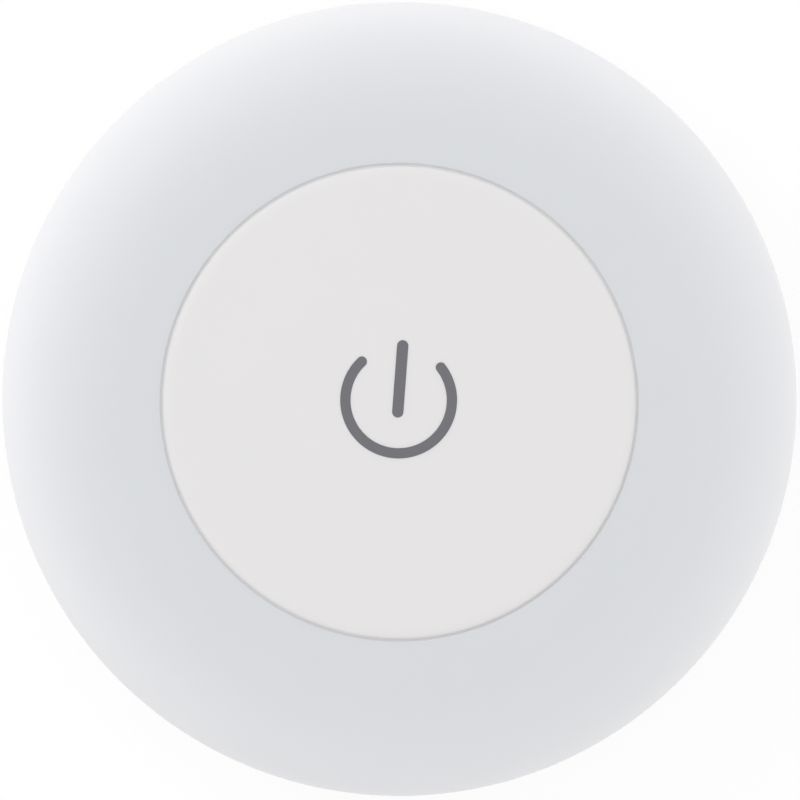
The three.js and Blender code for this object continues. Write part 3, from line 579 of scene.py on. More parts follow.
class Graph:
    """The nodes of a material or of the world, and the coordinates that they work with."""

    def __init__(self, owner, coordinates):
        owner.use_nodes = True
        self.owner = owner
        self.tree = owner.node_tree
        self.tree.nodes.clear()
        self.place = self.add("ShaderNodeTexCoord", output=coordinates)

    def add(self, kind, settings=None, values=None, output=0):
        """Adds a node with its settings, its sockets set or linked, and gives one of its outputs.

        A colour is given as its red, green and blue.
        """
        node = self.tree.nodes.new(kind)
        for name, value in (settings or {}).items():
            setattr(node, name, value)
        for key, value in (values or {}).items():
            socket = node.inputs[key]
            if isinstance(value, Socket):
                self.tree.links.new(value.output, socket)
            else:
                socket.default_value = (*value, 1.0) if socket.type == "RGBA" else value
        return Socket(self, node.outputs[output]) if node.outputs else None

    def math(self, operation, *values):
        """A Math node on values or sockets."""
        return self.add("ShaderNodeMath", {"operation": operation}, dict(enumerate(values)))

    def mix(self, factor, first, second, blend="MIX"):
        """A colour between two, or one laid over the other."""
        settings = {"data_type": "RGBA", "blend_type": blend}
        return self.add("ShaderNodeMix", settings, {0: factor, 6: first, 7: second}, 2)

    def part(self, vector, axis):
        """One coordinate of a vector, X, Y or Z."""
        return self.add("ShaderNodeSeparateXYZ", values={0: vector}, output=axis)

    def across(self):
        """The X and the Y of the place, in millimetres."""
        return [self.part(self.place, axis) / MM for axis in "XY"]

    def mapped(self, turn=0.0, scale=(1, 1, 1)):
        """The place turned about Z and scaled."""
        values = {"Vector": self.place, "Rotation": (0, 0, turn), "Scale": scale}
        return self.add("ShaderNodeMapping", values=values)

    def noise(self, grain, detail=2.0, at=None):
        """Noise from 0 to 1 whose spots are about grain millimetres wide."""
        values = {"Vector": at or self.place, "Scale": 1 / (grain * MM), "Detail": detail}
        return self.add("ShaderNodeTexNoise", values=values)

    def step(self, value, start, end):
        """0 before start and 1 after end, with a smooth rise between them."""
        settings = {"interpolation_type": "SMOOTHSTEP"}
        return self.add("ShaderNodeMapRange", settings, {0: value, 1: start, 2: end})

    def band(self, value, start, end, soft):
        """1 between start and end, with soft edges."""
        return self.step(value, start - soft, start + soft) * self.step(end - value, -soft, soft)

    def bump(self, height, depth):
        """A normal for a relief, its height from 0 to 1 standing for depth millimetres."""
        return self.add("ShaderNodeBump", values={"Height": height, "Distance": depth * MM})

    def uneven(self, base, amount, grain):
        """A colour that varies a little in lightness."""
        light = spread(self.noise(grain, detail=3.0), 1, amount)
        grey = self.add("ShaderNodeCombineColor", values={0: light, 1: light, 2: light})
        return self.mix(1.0, base, grey, "MULTIPLY")

    def surface(self, base, roughness, normal, **others):
        """The Principled shader and the output of a material, which it gives."""
        values = {"Base Color": base, "Roughness": roughness, "Normal": normal, **others}
        shader = self.add("ShaderNodeBsdfPrincipled", values=values)
        self.add("ShaderNodeOutputMaterial", values={"Surface": shader})
        return self.owner


def new_material(name):
    """The nodes of a new material, whose coordinates are those of the piece, in metres."""
    return Graph(bpy.data.materials.new(name), "Object")


def between(part, first, second):
    """A number that goes from the first to the second as a part goes from 0 to 1."""
    return part * (second - first) + first


def spread(part, middle, reach):
    """A number that goes as far to both sides of a middle as a part goes from 0 to 1."""
    return between(part, middle - reach, middle + reach)


def far(x, y):
    """How far two coordinates are from 0 together."""
    return (x * x + y * y) ** 0.5


def moulded(name, rgb, roughness, grain=0.35, depth=0.004, mottle=0.012, **others):
    """Moulded plastic, with the grain of its mould and a faint unevenness in colour and gloss."""
    graph = new_material(name)
    fine = graph.noise(grain)
    base = graph.uneven(rgb, mottle, grain=6.0)
    rough = spread(fine, roughness, MOULD_STRAY)
    return graph.surface(base, rough, graph.bump(fine, depth), **others)


def frosted_plastic(finishes):
    """Frosted plastic, bluish, with painted shade darkening it by the button and painted light
    towards the rim.
    """
    graph = new_material("frosted_plastic")
    outward = (far(*graph.across()) - HOLE_RADIUS) / (BODY_RADIUS - HOLE_RADIUS)
    # Painted shade by the button runs into painted light at the rim, in place of light falling into
    # the shell
    rise = graph.math("MAXIMUM", outward, 0.0) ** RIM_LIGHT_POWER
    tone = graph.mix(rise, finishes.ring_with_painted_shade, finishes.ring_with_painted_light)
    fine = graph.noise(grain=0.25)
    base = graph.uneven(tone, amount=0.008, grain=5.0)
    rough = spread(fine, finishes.ring_roughness, FROST_STRAY)
    return graph.surface(base, rough, graph.bump(fine, depth=0.003), **MILKY)


def printed_ink(finishes):
    """Matt ink, a little uneven where it lies on the grain of the plastic."""
    graph = new_material("printed_ink")
    fine = graph.noise(grain=0.15)
    base = graph.uneven(finishes.sign, amount=0.05, grain=0.6)
    return graph.surface(base, between(fine, 0.5, 0.65), graph.bump(fine, depth=0.003))


def closed_foam(finishes):
    """Closed-cell foam, with open pores on its cut edge and a smooth skin, the pores darkened with
    painted shade.
    """
    graph = new_material("closed_foam")
    values = {"Vector": graph.place, "Scale": 1 / (PORE_SIZE * MM)}
    cells = graph.add("ShaderNodeTexVoronoi", values=values)
    pores = graph.step(cells, start=0.15, end=0.6)
    # Painted shade: the pores, the hollows of the bump, are darkened in colour
    painted_pore_shade = tuple(PORE_PAINTED_SHADE * value for value in finishes.foam)
    base = graph.uneven(graph.mix(pores, finishes.foam, painted_pore_shade), amount=0.04, grain=3.0)
    rough = between(graph.noise(grain=1.0), 0.85, 0.95)
    return graph.surface(base, rough, graph.bump(1 - pores, depth=0.012))


def drawn_metal(name, rgb, roughness, stretch=(1, 1, 1), grain=0.3):
    """Plated metal with fine drawing lines and faint stains."""
    graph = new_material(name)
    lines = graph.noise(grain, detail=4.0, at=graph.mapped(scale=stretch))
    stains = graph.noise(grain=3.0, detail=3.0)
    base = graph.uneven(rgb, amount=0.06, grain=2.0)
    rough = between(lines, roughness - 0.12, roughness + 0.03) + stains * 0.1
    return graph.surface(base, rough, graph.bump(lines, depth=0.004), Metallic=1.0)


def solder_mask():
    """White board: a satin mask with faint raised tracks, and the bare laminate on its edges."""
    graph = new_material("solder_mask")
    reach = far(*graph.across())
    rings = graph.step(graph.math("PINGPONG", reach, TRACK_PITCH), start=0.5, end=0.62)
    inner, outer = TRACK_RADII
    outside = graph.step(reach, inner, inner + TRACK_EDGE)
    tracks = rings * outside * graph.step(outer - reach, 0.0, TRACK_EDGE)
    normal = graph.add("ShaderNodeNewGeometry", output="True Normal")
    flat = graph.step(abs(graph.part(normal, "Z")), start=0.3, end=0.6)
    base = graph.mix(flat, LAMINATE, graph.mix(tracks, MASK, TRACK))
    rough = between(graph.noise(grain=0.8), 0.28, 0.4)
    relief = graph.bump(tracks + graph.noise(grain=0.6) * 0.15, depth=0.02)
    return graph.surface(base, rough, relief)


def led_finish():
    """White packages round the board, each with a round yellow filling."""
    graph = new_material("led_finish")
    x, y = graph.across()
    sector = math.tau / LED_COUNT
    turn = graph.math("WRAP", graph.math("ARCTAN2", y, x), sector / 2, -sector / 2)
    reach = far(x, y)
    aside = reach * graph.math("SINE", turn)
    out = reach * graph.math("COSINE", turn) - LED_REACH
    body = graph.step(far(aside, out), LED_CUP_RADIUS - LED_CUP_SLOPE, LED_CUP_RADIUS)
    end = LED_SIZE[1] / 2 - LED_PAD
    pads = graph.step(abs(aside), end, end + MEETING)
    tone = graph.mix(pads, graph.mix(body, PHOSPHOR, LED_WHITE), TIN)
    base = graph.uneven(tone, amount=0.03, grain=0.5)
    relief = graph.bump(graph.noise(grain=0.2), depth=0.003)
    return graph.surface(base, between(body, 0.2, 0.45), relief, Metallic=pads)


def jacket_finish():
    """Cells: a satin jacket with a darker band towards the nub, and bare steel on both ends."""
    graph = new_material("jacket_finish")
    x, y = graph.across()
    outer = graph.step(abs(x), CELL_PITCH / 2, CELL_PITCH / 2 + MEETING)
    forward = y * (outer * 2 - 1)
    jacket = graph.band(forward, *JACKET_SPAN)
    print_tone = graph.mix(graph.band(forward, *BAND_SPAN), JACKET, JACKET_BAND)
    brushed = graph.noise(grain=0.2, detail=3.0, at=graph.mapped(scale=(1, 0.04, 1)))
    base = graph.uneven(graph.mix(jacket, CELL_STEEL, print_tone), amount=0.05, grain=1.5)
    rough, metal = between(brushed, 0.26, 0.4), between(jacket, 1.0, 0.4)
    return graph.surface(base, rough, graph.bump(brushed, depth=0.003), Metallic=metal)


def from_middle(graph, angle):
    """How far a point is from the middle of the part on a spoke of the board, along the spoke."""
    return abs(graph.part(graph.mapped(turn=math.radians(-angle)), "X") / MM - PARTS_REACH)


def capped_part(name, rgb, angle, size, cap):
    """A small ceramic part with plated caps on its ends, lying along a spoke."""
    graph = new_material(name)
    inner = size[0] / 2 - cap
    ends = graph.step(from_middle(graph, angle), inner - MEETING, inner)
    base = graph.uneven(graph.mix(ends, rgb, TIN), amount=0.05, grain=0.3)
    rough = between(graph.noise(grain=0.2), 0.3, 0.45)
    relief = graph.bump(graph.noise(grain=0.12), depth=0.004)
    return graph.surface(base, rough, relief, Metallic=ends)


def chip_finish():
    """A black package with plated legs."""
    graph = new_material("chip_finish")
    side = CHIP_SIZE[0] / 2
    legs = graph.step(from_middle(graph, CHIP_ANGLE), side, side + 2 * MEETING)
    fine = graph.noise(grain=0.12)
    base = graph.uneven(graph.mix(legs, BLACK, CHIP_LEG), amount=0.06, grain=0.4)
    rough = between(legs, 0.5, 0.3) + fine * 0.15
    return graph.surface(base, rough, graph.bump(fine, depth=0.006), Metallic=legs)


def polar(reach, angle):
    """The point at a reach and an angle in degrees from the axis."""
    turn = math.radians(angle)
    return reach * math.cos(turn), reach * math.sin(turn)


def around(count):
    """The angles of equal steps round the axis."""
    return [360 * index / count for index in range(count)]


def fillet(radius, height, size, start, steps=FILLET_STEPS, drop=None):
    """Points that round off a profile's corner, over the quarter turn that starts at an angle.

    With a drop it is an oval of that height instead of a circle.
    """
    drop = drop or size
    centre_radius = radius + size if start == IN_UP else radius - size
    centre_height = height + drop if start == OUT_DOWN else height - drop
    points = []
    for index in range(steps + 1):
        across, up = polar(size, start + 90 * index / steps)
        points.append((centre_radius + across, centre_height + drop / size * up))
    return points


class Solid:
    """A closed mesh in millimetres, while a piece is being modelled."""

    def __init__(self, bm):
        bmesh.ops.remove_doubles(bm, verts=bm.verts, dist=MERGE)
        bmesh.ops.recalc_face_normals(bm, faces=bm.faces)
        self.mesh = bpy.data.meshes.new("solid")
        bm.to_mesh(self.mesh)
        bm.free()

    def moved(self, x=0.0, y=0.0, z=0.0, angle=0.0, tilt=0.0):
        """Tilted about X, turned about Z and then moved."""
        lean = Matrix.Rotation(math.radians(tilt), 4, "X")
        turn = Matrix.Rotation(math.radians(angle), 4, "Z") @ lean
        self.mesh.transform(Matrix.Translation((x, y, z)) @ turn)
        return self

    def joined(self, others):
        """One body with the others."""
        return self._combined(others, "UNION")

    def cut(self, others):
        """What the others leave of it."""
        return self._combined(others, "DIFFERENCE")

    def within(self, other):
        """What lies inside another."""
        return self._combined([other], "INTERSECT")

    def _combined(self, others, operation):
        host = in_scene("host", self.mesh)
        tools = [in_scene("tool", other.mesh) for other in others]
        for tool in tools:
            modifier = host.modifiers.new("combine", "BOOLEAN")
            modifier.solver = "MANIFOLD"
            modifier.operation = operation
            modifier.object = tool
        graph = bpy.context.evaluated_depsgraph_get()
        self.mesh = bpy.data.meshes.new_from_object(host.evaluated_get(graph))
        for item in [host, *tools]:
            bpy.data.objects.remove(item)
        return self


def in_scene(name, data):
    """A new object in the scene."""
    item = bpy.data.objects.new(name, data)
    bpy.context.scene.collection.objects.link(item)
    return item


def spun(bm, geom, angle, steps, centre=(0, 0, 0), rise=0.0, whole=False):
    """Sweeps part of a shape round an upright axis, by degrees, and gives its far end."""
    swept = bmesh.ops.spin(
        bm,
        geom=geom,
        cent=centre,
        axis=(0, 0, 1),
        dvec=(0, 0, rise),
        angle=math.radians(angle),
        steps=steps,
        use_merge=whole,
        use_duplicate=False,
    )
    return swept["geom_last"]


def turned(profile, facets=WIDE, middle=0.0, width=360, rise=0.0):
    """A profile of (radius, height) points turned about Z, all the way or over a width in degrees.

    With a rise in each step it winds upwards.
    """
    bm = bmesh.new()
    points = [bm.verts.new((radius, 0.0, height)) for radius, height in profile]
    whole = width == 360 and not rise
    if whole:
        pairs = list(zip(points, points[1:]))
        if profile[0][0] > 0:
            pairs.append((points[-1], points[0]))
        geom = points + [bm.edges.new(pair) for pair in pairs]
    else:
        face = bm.faces.new(points)
        geom = [face, *face.edges, *face.verts]
    start = Matrix.Rotation(math.radians(middle - width / 2), 3, "Z")
    bmesh.ops.rotate(bm, cent=(0, 0, 0), matrix=start, verts=bm.verts)
    spun(bm, geom, width, facets, rise=rise, whole=whole)
    return Solid(bm)


def arc(inner, outer, bottom, top, middle, width):
    """A stretch of a ring of rectangular section."""
    section = [(inner, bottom), (outer, bottom), (outer, top), (inner, top)]
    return turned(section, max(ARC_FACETS, round(width / ARC_ANGLE)), middle, width)


def box(corner_a, corner_b, edge=0.0):
    """A box between two corners, with its edges rounded."""
    bm = bmesh.new()
    bmesh.ops.create_cube(bm, size=1.0)
    first, second = Vector(corner_a), Vector(corner_b)
    bmesh.ops.scale(bm, vec=second - first, verts=bm.verts)
    bmesh.ops.translate(bm, vec=(first + second) / 2, verts=bm.verts)
    if edge:
        bmesh.ops.bevel(
            bm,
            geom=bm.edges[:],
            offset=edge,
            offset_type="OFFSET",
            segments=2,
            profile=0.5,
            affect="EDGES",
            clamp_overlap=True,
            material=-1,
        )
    return Solid(bm)


def block(x, y, bottom, top, edge=0.0):
    """A box that reaches as far to both sides of the axis, along X and along Y."""
    return box((-x, -y, bottom), (x, y, top), edge)


def bar(start, end, width, bottom, top, angle=0.0, edge=0.0):
    """A box that lies along a spoke, from one radius to another."""
    return box((start, -width / 2, bottom), (end, width / 2, top), edge).moved(angle=angle)


def post(radius, bottom, top, x=0.0, y=0.0, facets=SMALL):
    """An upright round post."""
    return turned([(0, bottom), (radius, bottom), (radius, top), (0, top)], facets).moved(x, y)


def wound(foot_radius, tip_radius, rise):
    """A round wire wound upwards about Z, its radius changing evenly."""
    curve = bpy.data.curves.new("wire", "CURVE")
    curve.dimensions = "3D"
    curve.bevel_depth = WIRE_RADIUS
    curve.bevel_resolution = WIRE // 2 - 2
    curve.use_fill_caps = True
    spline = curve.splines.new("POLY")
    count = COIL_STEPS * COIL_TURNS
    spline.points.add(count)
    for index, point in enumerate(spline.points):
        part = index / count
        reach = foot_radius + (tip_radius - foot_radius) * part
        point.co = (*polar(reach, COIL_START + 360 * COIL_TURNS * part), rise * part, 1.0)
    carrier = bpy.data.objects.new("wire", curve)
    bm = bmesh.new()
    bm.from_mesh(bpy.data.meshes.new_from_object(carrier))
    bpy.data.objects.remove(carrier)
    return Solid(bm)


def finished(solid, name, material, body, *nodes, slot=None):
    """Makes a solid a piece: clean, in metres, smooth between its sharp edges, on its body."""
    bm = bmesh.new()
    bm.from_mesh(solid.mesh)
    bmesh.ops.remove_doubles(bm, verts=bm.verts, dist=MERGE)
    bmesh.ops.dissolve_degenerate(bm, dist=MERGE, edges=bm.edges)
    bmesh.ops.scale(bm, vec=(MM, MM, MM), verts=bm.verts)
    mesh = bpy.data.meshes.new(name)
    bm.to_mesh(mesh)
    bm.free()
    mesh.shade_smooth()
    mesh.set_sharp_from_angle(angle=math.radians(SHARP_ANGLE))
    mesh.materials.clear()
    mesh.materials.append(material)
    piece = in_scene(name, mesh)
    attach(piece, body)
    if nodes:
        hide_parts(*nodes)
    return piece


def dome(fullness, reach, rise, steps):
    """Points along the ring's curve, from its foot at the rim to its crown at the button's hole."""
    crown = HOLE_RADIUS + LIP_FILLET
    points = []
    for index in range(steps + 1):
        turn = math.pi / 2 * index / steps
        across = max(math.cos(turn), 0.0) ** (2 / fullness)
        up = math.sin(turn) ** (2 / fullness)
        points.append((crown + reach * across, DOME_FOOT + rise * up))
    return points


def ring_solid(sizes):
    """The frosted ring: a dome that falls to the rim, with four snaps inside its wall."""
    reach, rise = BODY_RADIUS - HOLE_RADIUS - LIP_FILLET, FRONT_TOP - DOME_FOOT
    inner = BODY_RADIUS - RING_WALL
    outside = dome(sizes.dome_fullness, reach, rise, DOME_STEPS)
    inside = dome(sizes.dome_fullness, reach - RING_WALL, rise - RING_WALL, DOME_STEPS // 2)
    shell = turned(
        [
            (inner, RING_BOTTOM),
            *fillet(BODY_RADIUS, RING_BOTTOM, RING_FOOT_FILLET, OUT_DOWN),
            *outside[:-1],
            *fillet(HOLE_RADIUS, FRONT_TOP, LIP_FILLET, IN_UP),
            (LIP_STEP_RADIUS, FRONT_TOP - LIP_FILLET - LIP_STEP_DROP),
            (LIP_STEP_RADIUS, FRONT_TOP - RING_WALL),
            *reversed(inside),
        ]
    )
    snap = [
        (inner - SNAP_REACH, SNAP_TOP),
        (inner - SNAP_REACH, (SNAP_BOTTOM + SNAP_TOP) / 2),
        (inner, SNAP_BOTTOM),
        (inner + ROOT, SNAP_BOTTOM),
        (inner + ROOT, SNAP_TOP),
    ]
    return shell.joined([turned(snap, SNAP_FACETS, angle, SNAP_WIDTH) for angle in DIAGONALS])


def button_solid(edge, drop, top):
    """The button: a plate on a shoulder, a skirt with snap hooks, ribs and a stem."""
    under = BUTTON_TOP - BUTTON_WALL
    inner = BUTTON_RADIUS - BUTTON_SKIRT
    shell = turned(
        [
            (0, under),
            (inner, under),
            (inner, HOOK_BOTTOM),
            (BUTTON_RADIUS, HOOK_BOTTOM),
            (BUTTON_RADIUS, SHOULDER_BOTTOM),
            (SHOULDER_RADIUS, SHOULDER_BOTTOM + SHOULDER_SLOPE),
            (SHOULDER_RADIUS, SHOULDER_TOP - SHOULDER_EDGE),
            (SHOULDER_RADIUS - SHOULDER_EDGE, SHOULDER_TOP),
            (BUTTON_RADIUS, SHOULDER_TOP),
            *fillet(BUTTON_RADIUS, top, edge, OUT_UP, BUTTON_STEPS, drop),
            (0, top),
        ]
    )
    hook_top = HOOK_BOTTOM + HOOK_HEIGHT
    hook = [
        (BUTTON_RADIUS - ROOT, HOOK_BOTTOM),
        (BUTTON_RADIUS, HOOK_BOTTOM),
        (HOOK_RADIUS, hook_top - HOOK_HEIGHT / 2),
        (HOOK_RADIUS, hook_top),
        (BUTTON_RADIUS - ROOT, hook_top),
    ]
    reach = HOOK_WIDTH / 2 + HOOK_PLAY
    slit = inner - OVERRUN, BUTTON_RADIUS + OVERRUN, HOOK_SLIT, HOOK_BOTTOM - OVERRUN, under
    slits = [
        bar(*slit, angle) for middle in DIAGONALS for angle in (middle - reach, middle + reach)
    ]
    hooks = [turned(hook, HOOK_FACETS, angle, HOOK_WIDTH) for angle in DIAGONALS]
    ribs = [
        bar(RIB_START, inner + ROOT, RIB_WIDTH, under - RIB_DEPTH, under + ROOT, angle)
        for angle in around(RIB_COUNT)
    ]
    stem = post(STEM_RADIUS, STEM_BOTTOM, under + ROOT)
    return shell.cut(slits).joined([*hooks, *ribs, stem])


def slab(first, moves, bottom, top):
    """A closed flat outline pushed up from one height to another.

    It starts at a point. A move is a step (x, y), or a turn about a pivot ((x, y), degrees).
    """
    bm = bmesh.new()
    vertex = bm.verts.new((*first, 0.0))
    for move in moves:
        if isinstance(move[0], tuple):
            pivot, angle = move
            steps = max(2, round(abs(angle) / OUTLINE_ANGLE))
            vertex = spun(bm, [vertex], angle, steps, centre=(*pivot, 0.0))[0]
        else:
            reached = bm.verts.new((vertex.co.x + move[0], vertex.co.y + move[1], 0.0))
            bm.edges.new((vertex, reached))
            vertex = reached
    bmesh.ops.remove_doubles(bm, verts=bm.verts, dist=MERGE)
    bmesh.ops.contextual_create(bm, geom=bm.edges)
    bmesh.ops.translate(bm, vec=(0, 0, bottom), verts=bm.verts)
    raised = bmesh.ops.extrude_face_region(bm, geom=bm.faces[:])
    lifted = [item for item in raised["geom"] if isinstance(item, bmesh.types.BMVert)]
    bmesh.ops.translate(bm, vec=(0, 0, top - bottom), verts=lifted)
    return Solid(bm)


def sign_solid(sizes, bottom, top):
    """The printed power sign: an open circle with a bar."""
    half = sizes.sign_stroke / MM / 2
    radius = sizes.sign_radius / MM - half
    opening = math.degrees(sizes.sign_opening)
    start, sweep = 90 + opening, 360 - 2 * opening
    ends = polar(radius, start + sweep), polar(radius, start)
    outline = [((0, 0), sweep), (ends[0], 180), ((0, 0), -sweep), (ends[1], 180)]
    circle = slab(polar(radius + half, start), outline, bottom, top)
    wide = sizes.sign_bar / MM / 2
    upper, lower = sizes.sign_top / MM - wide, wide - sizes.sign_foot / MM
    outline = [(0, upper - lower), ((0, upper), 180), (0, lower - upper), ((0, lower), 180)]
    bar_solid = slab((wide, lower), outline, bottom, top)
    return circle.joined([bar_solid]).moved(-sizes.sign_left / MM, sizes.sign_lift / MM)


def housing_solid():
    """The shell: outer wall, deck, tongue, bayonet ledges, battery tray and screw bosses."""
    shell = turned(
        [
            (0, DECK_BOTTOM),
            (BORE_RADIUS, DECK_BOTTOM),
            (BORE_RADIUS, HOUSING_BACK + BORE_EDGE),
            (BORE_RADIUS + BORE_EDGE, HOUSING_BACK),
            *fillet(BODY_RADIUS - HOUSING_DRAFT, HOUSING_BACK, HOUSING_FILLET, OUT_DOWN),
            *fillet(BODY_RADIUS, PARTING_HEIGHT, PARTING_EDGE, OUT_UP, EDGE_STEPS),
            (TONGUE_RADIUS, PARTING_HEIGHT),
            *fillet(TONGUE_RADIUS, DECK_TOP, BORE_EDGE, OUT_UP, EDGE_STEPS),
            (0, DECK_TOP),
        ]
    )
    seats = [arc(*SEAT_RADII, DECK_TOP - ROOT, SEAT_TOP, angle, SEAT_WIDTH) for angle in DIAGONALS]
    key = bar(-BORE_RADIUS, -KEY_INNER, KEY_WIDTH, DECK_TOP - ROOT, KEY_TOP, edge=KEY_EDGE)
    bosses = []
    pilots = []
    for screw in SCREWS:
        tip, place = low(screw).z, screw_place(screw)
        bosses.append(post(BOSS_RADIUS, tip - BOSS_FLOOR, SEAT_TOP, *place))
        pilots.append(post(PILOT_RADIUS, tip - FIT_GAP, SEAT_TOP + OVERRUN, *place))
    radii = BODY_RADIUS - RING_WALL - SNAP_REACH - FIT_GAP, TONGUE_RADIUS + OVERRUN
    levels = SNAP_BOTTOM - FIT_GAP, SNAP_TOP + FIT_GAP
    pockets = [arc(*radii, *levels, angle, SNAP_WIDTH + SNAP_PLAY) for angle in DIAGONALS]
    whole = shell.joined([*seats, key, tray(), *bayonet_ledges(), *bosses])
    return whole.cut([*pockets, *pilots, *tab_rooms(DECK_BOTTOM - OVERRUN, DECK_TOP + OVERRUN)])


def bayonet_ledges():
    """The ledges that the lugs run behind, each with a stop at both ends of the twist."""
    outer = BORE_RADIUS + ROOT
    ledges = [
        arc(LEDGE_RADIUS, outer, LEDGE_BOTTOM, LEDGE_TOP, angle + LEDGE_MIDDLE, LEDGE_WIDTH)
        for angle in LUG_ANGLES
    ]
    stops = [
        arc(LEDGE_RADIUS, outer, LEDGE_BOTTOM, LUG_TOP, angle + place, STOP_WIDTH)
        for angle in LUG_ANGLES
        for place in STOP_PLACES
    ]
    return ledges + stops


def tray():
    """The open box for the cells, with its dividers, cradle ribs and contact keepers."""
    root = DECK_BOTTOM + ROOT
    room = block(TRAY_SIDE, TRAY_END, TRAY_BOTTOM - OVERRUN, root + OVERRUN)
    walls = block(TRAY_SIDE + TRAY_WALL, TRAY_END + TRAY_WALL, TRAY_BOTTOM, root).cut([room])
    dividers = [
        block(DIVIDER_WIDTH / 2, KEEPER_END, DIVIDER_BOTTOM, root).moved(x)
        for x in (-CELL_PITCH / 2, CELL_PITCH / 2)
    ]
    hollows = [
        post(CRADLE_RADIUS, -TRAY_END, TRAY_END, facets=MEDIUM).moved(x=x, z=CELL_MIDDLE, tilt=90)
        for x in (-CELL_PITCH, 0, CELL_PITCH)
    ]
    cradles = [
        block(TRAY_SIDE + ROOT, CRADLE_WIDTH / 2, CRADLE_BOTTOM, root).moved(y=y).cut(hollows)
        for y in CRADLE_PLACES
    ]
    made = [keeper for angle in BOTH_ENDS for keeper in keepers(root, angle)]
    trim = post(TRAY_TRIM, TRAY_BOTTOM - OVERRUN, root + OVERRUN, facets=WIDE)
    return walls.joined([*dividers, *cradles, *made]).within(trim)


def keepers(root, angle):
    """The keepers that hold the contacts against one end wall, and the spacer between them."""
    start = KEEPER_END - KEEPER_THICKNESS
    half, place, thick = KEEPER_WIDTH / 2, CELL_PITCH / 2, KEEPER_THICKNESS / 2
    spans = [
        (-TRAY_SIDE - ROOT, -TRAY_SIDE + half, KEEPER_END),
        (-place - half, -place + half, KEEPER_END),
        (place - half, place + half, KEEPER_END),
        (TRAY_SIDE - half, TRAY_SIDE + ROOT, KEEPER_END),
        (place - thick, place + thick, TRAY_END + ROOT),
    ]
    return [
        box((left, start, DIVIDER_BOTTOM), (right, end, root)).moved(angle=angle)
        for left, right, end in spans
    ]


def tab_rooms(bottom, top):
    """The room for the tabs of the two end contacts between two heights."""
    half = TAB_WIDTH / 2 + FIT_GAP
    face, back = CONTACT_FACE - FIT_GAP, CONTACT_BACK + FIT_GAP
    return [
        box((TAB_PLACE - half, face, bottom), (TAB_PLACE + half, back, top)).moved(angle=angle)
        for angle in BOTH_ENDS
    ]


def plate_solid():
    """The back plate: skirt and lugs, collared screw holes, finger grips and the pad's recess."""
    ribs = [(radius + x, PLATE_TOP + z) for radius in PLATE_RIBS for x, z in PLATE_RIB_SHAPE]
    plate = turned(
        [
            (0, RECESS_TOP),
            (RECESS_RADIUS, RECESS_TOP),
            (RECESS_RADIUS, PLATE_BACK + RECESS_EDGE),
            (RECESS_RADIUS + RECESS_EDGE, PLATE_BACK),
            *fillet(PLATE_RADIUS, PLATE_BACK, PLATE_EDGE, OUT_DOWN),
            (PLATE_RADIUS, PLATE_TOP),
            (SKIRT_RADIUS, PLATE_TOP),
            (SKIRT_RADIUS, LUG_TOP),
            (SKIRT_INNER, LUG_TOP),
            (SKIRT_INNER, PLATE_TOP),
            *ribs,
            (0, PLATE_TOP),
        ]
    )
    lug = SKIRT_RADIUS - ROOT, PLATE_RADIUS, LUG_BOTTOM, LUG_TOP
    lugs = [arc(*lug, angle, LUG_WIDTH) for angle in LUG_ANGLES]
    collar = COLLAR_RADIUS, PLATE_TOP - ROOT, COLLAR_TOP
    collars = [post(*collar, x, facets=MEDIUM) for x in SCREW_HOLES]
    hole = [
        (0, PLATE_BACK - OVERRUN),
        (SCREW_HOLE_RADIUS, PLATE_BACK - OVERRUN),
        (SCREW_HOLE_RADIUS, COLLAR_TOP - (SCREW_SINK_RADIUS - SCREW_HOLE_RADIUS)),
        (SCREW_SINK_RADIUS, COLLAR_TOP),
        (SCREW_SINK_RADIUS, COLLAR_TOP + OVERRUN),
        (0, COLLAR_TOP + OVERRUN),
    ]
    holes = [turned(hole, MEDIUM).moved(x) for x in SCREW_HOLES]
    grip = *GRIP_RADII, PLATE_BACK - OVERRUN, PLATE_BACK + GRIP_DEPTH
    grips = [arc(*grip, side + place, GRIP_WIDTH) for side in GRIP_SIDES for place in GRIP_PLACES]
    return plate.joined([*lugs, *collars]).cut([*holes, *grips])


def pad_solid():
    """The foam pad, its cut edge a little hollow and its faces softly rounded."""
    return turned(
        [
            (0, 0),
            *fillet(PAD_RADIUS, 0, PAD_EDGE, OUT_DOWN, EDGE_STEPS),
            (PAD_RADIUS - PAD_HOLLOW, PAD_TOP / 2),
            *fillet(PAD_RADIUS, PAD_TOP, PAD_EDGE, OUT_UP, EDGE_STEPS),
            (0, PAD_TOP),
        ]
    )


def cell_solid(node, way):
    """A cell with its nub at one end and its flat foot at the other."""
    middle, tip = (high(node) + low(node)) / 2, (high(node) - low(node)).y
    can = tip - NUB_HEIGHT
    groove = can - CELL_GROOVE
    body = turned(
        [
            (0, DIMPLE_DEPTH),
            (DIMPLE_RADIUS, DIMPLE_DEPTH),
            (DIMPLE_RADIUS + DIMPLE_SLOPE, 0),
            *fillet(CELL_RADIUS, 0, CELL_FOOT_FILLET, OUT_DOWN),
            *fillet(CELL_RADIUS, can, CELL_HEAD_FILLET, OUT_UP),
            (CELL_RADIUS - CELL_RIM, can),
            (CELL_RADIUS - CELL_RIM - CELL_RIM_SLOPE, groove),
            (NUB_RADIUS + NUB_SLOPE, groove),
            (NUB_RADIUS, can),
            *fillet(NUB_RADIUS, tip, NUB_FILLET, OUT_UP, EDGE_STEPS),
            (0, tip),
        ],
        MEDIUM,
    ).moved(z=-tip / 2)
    return body.moved(*middle, tilt=-90 * way)


def screw_place(node):
    """The axis of a screw."""
    return ((low(node) + high(node)) / 2).xy


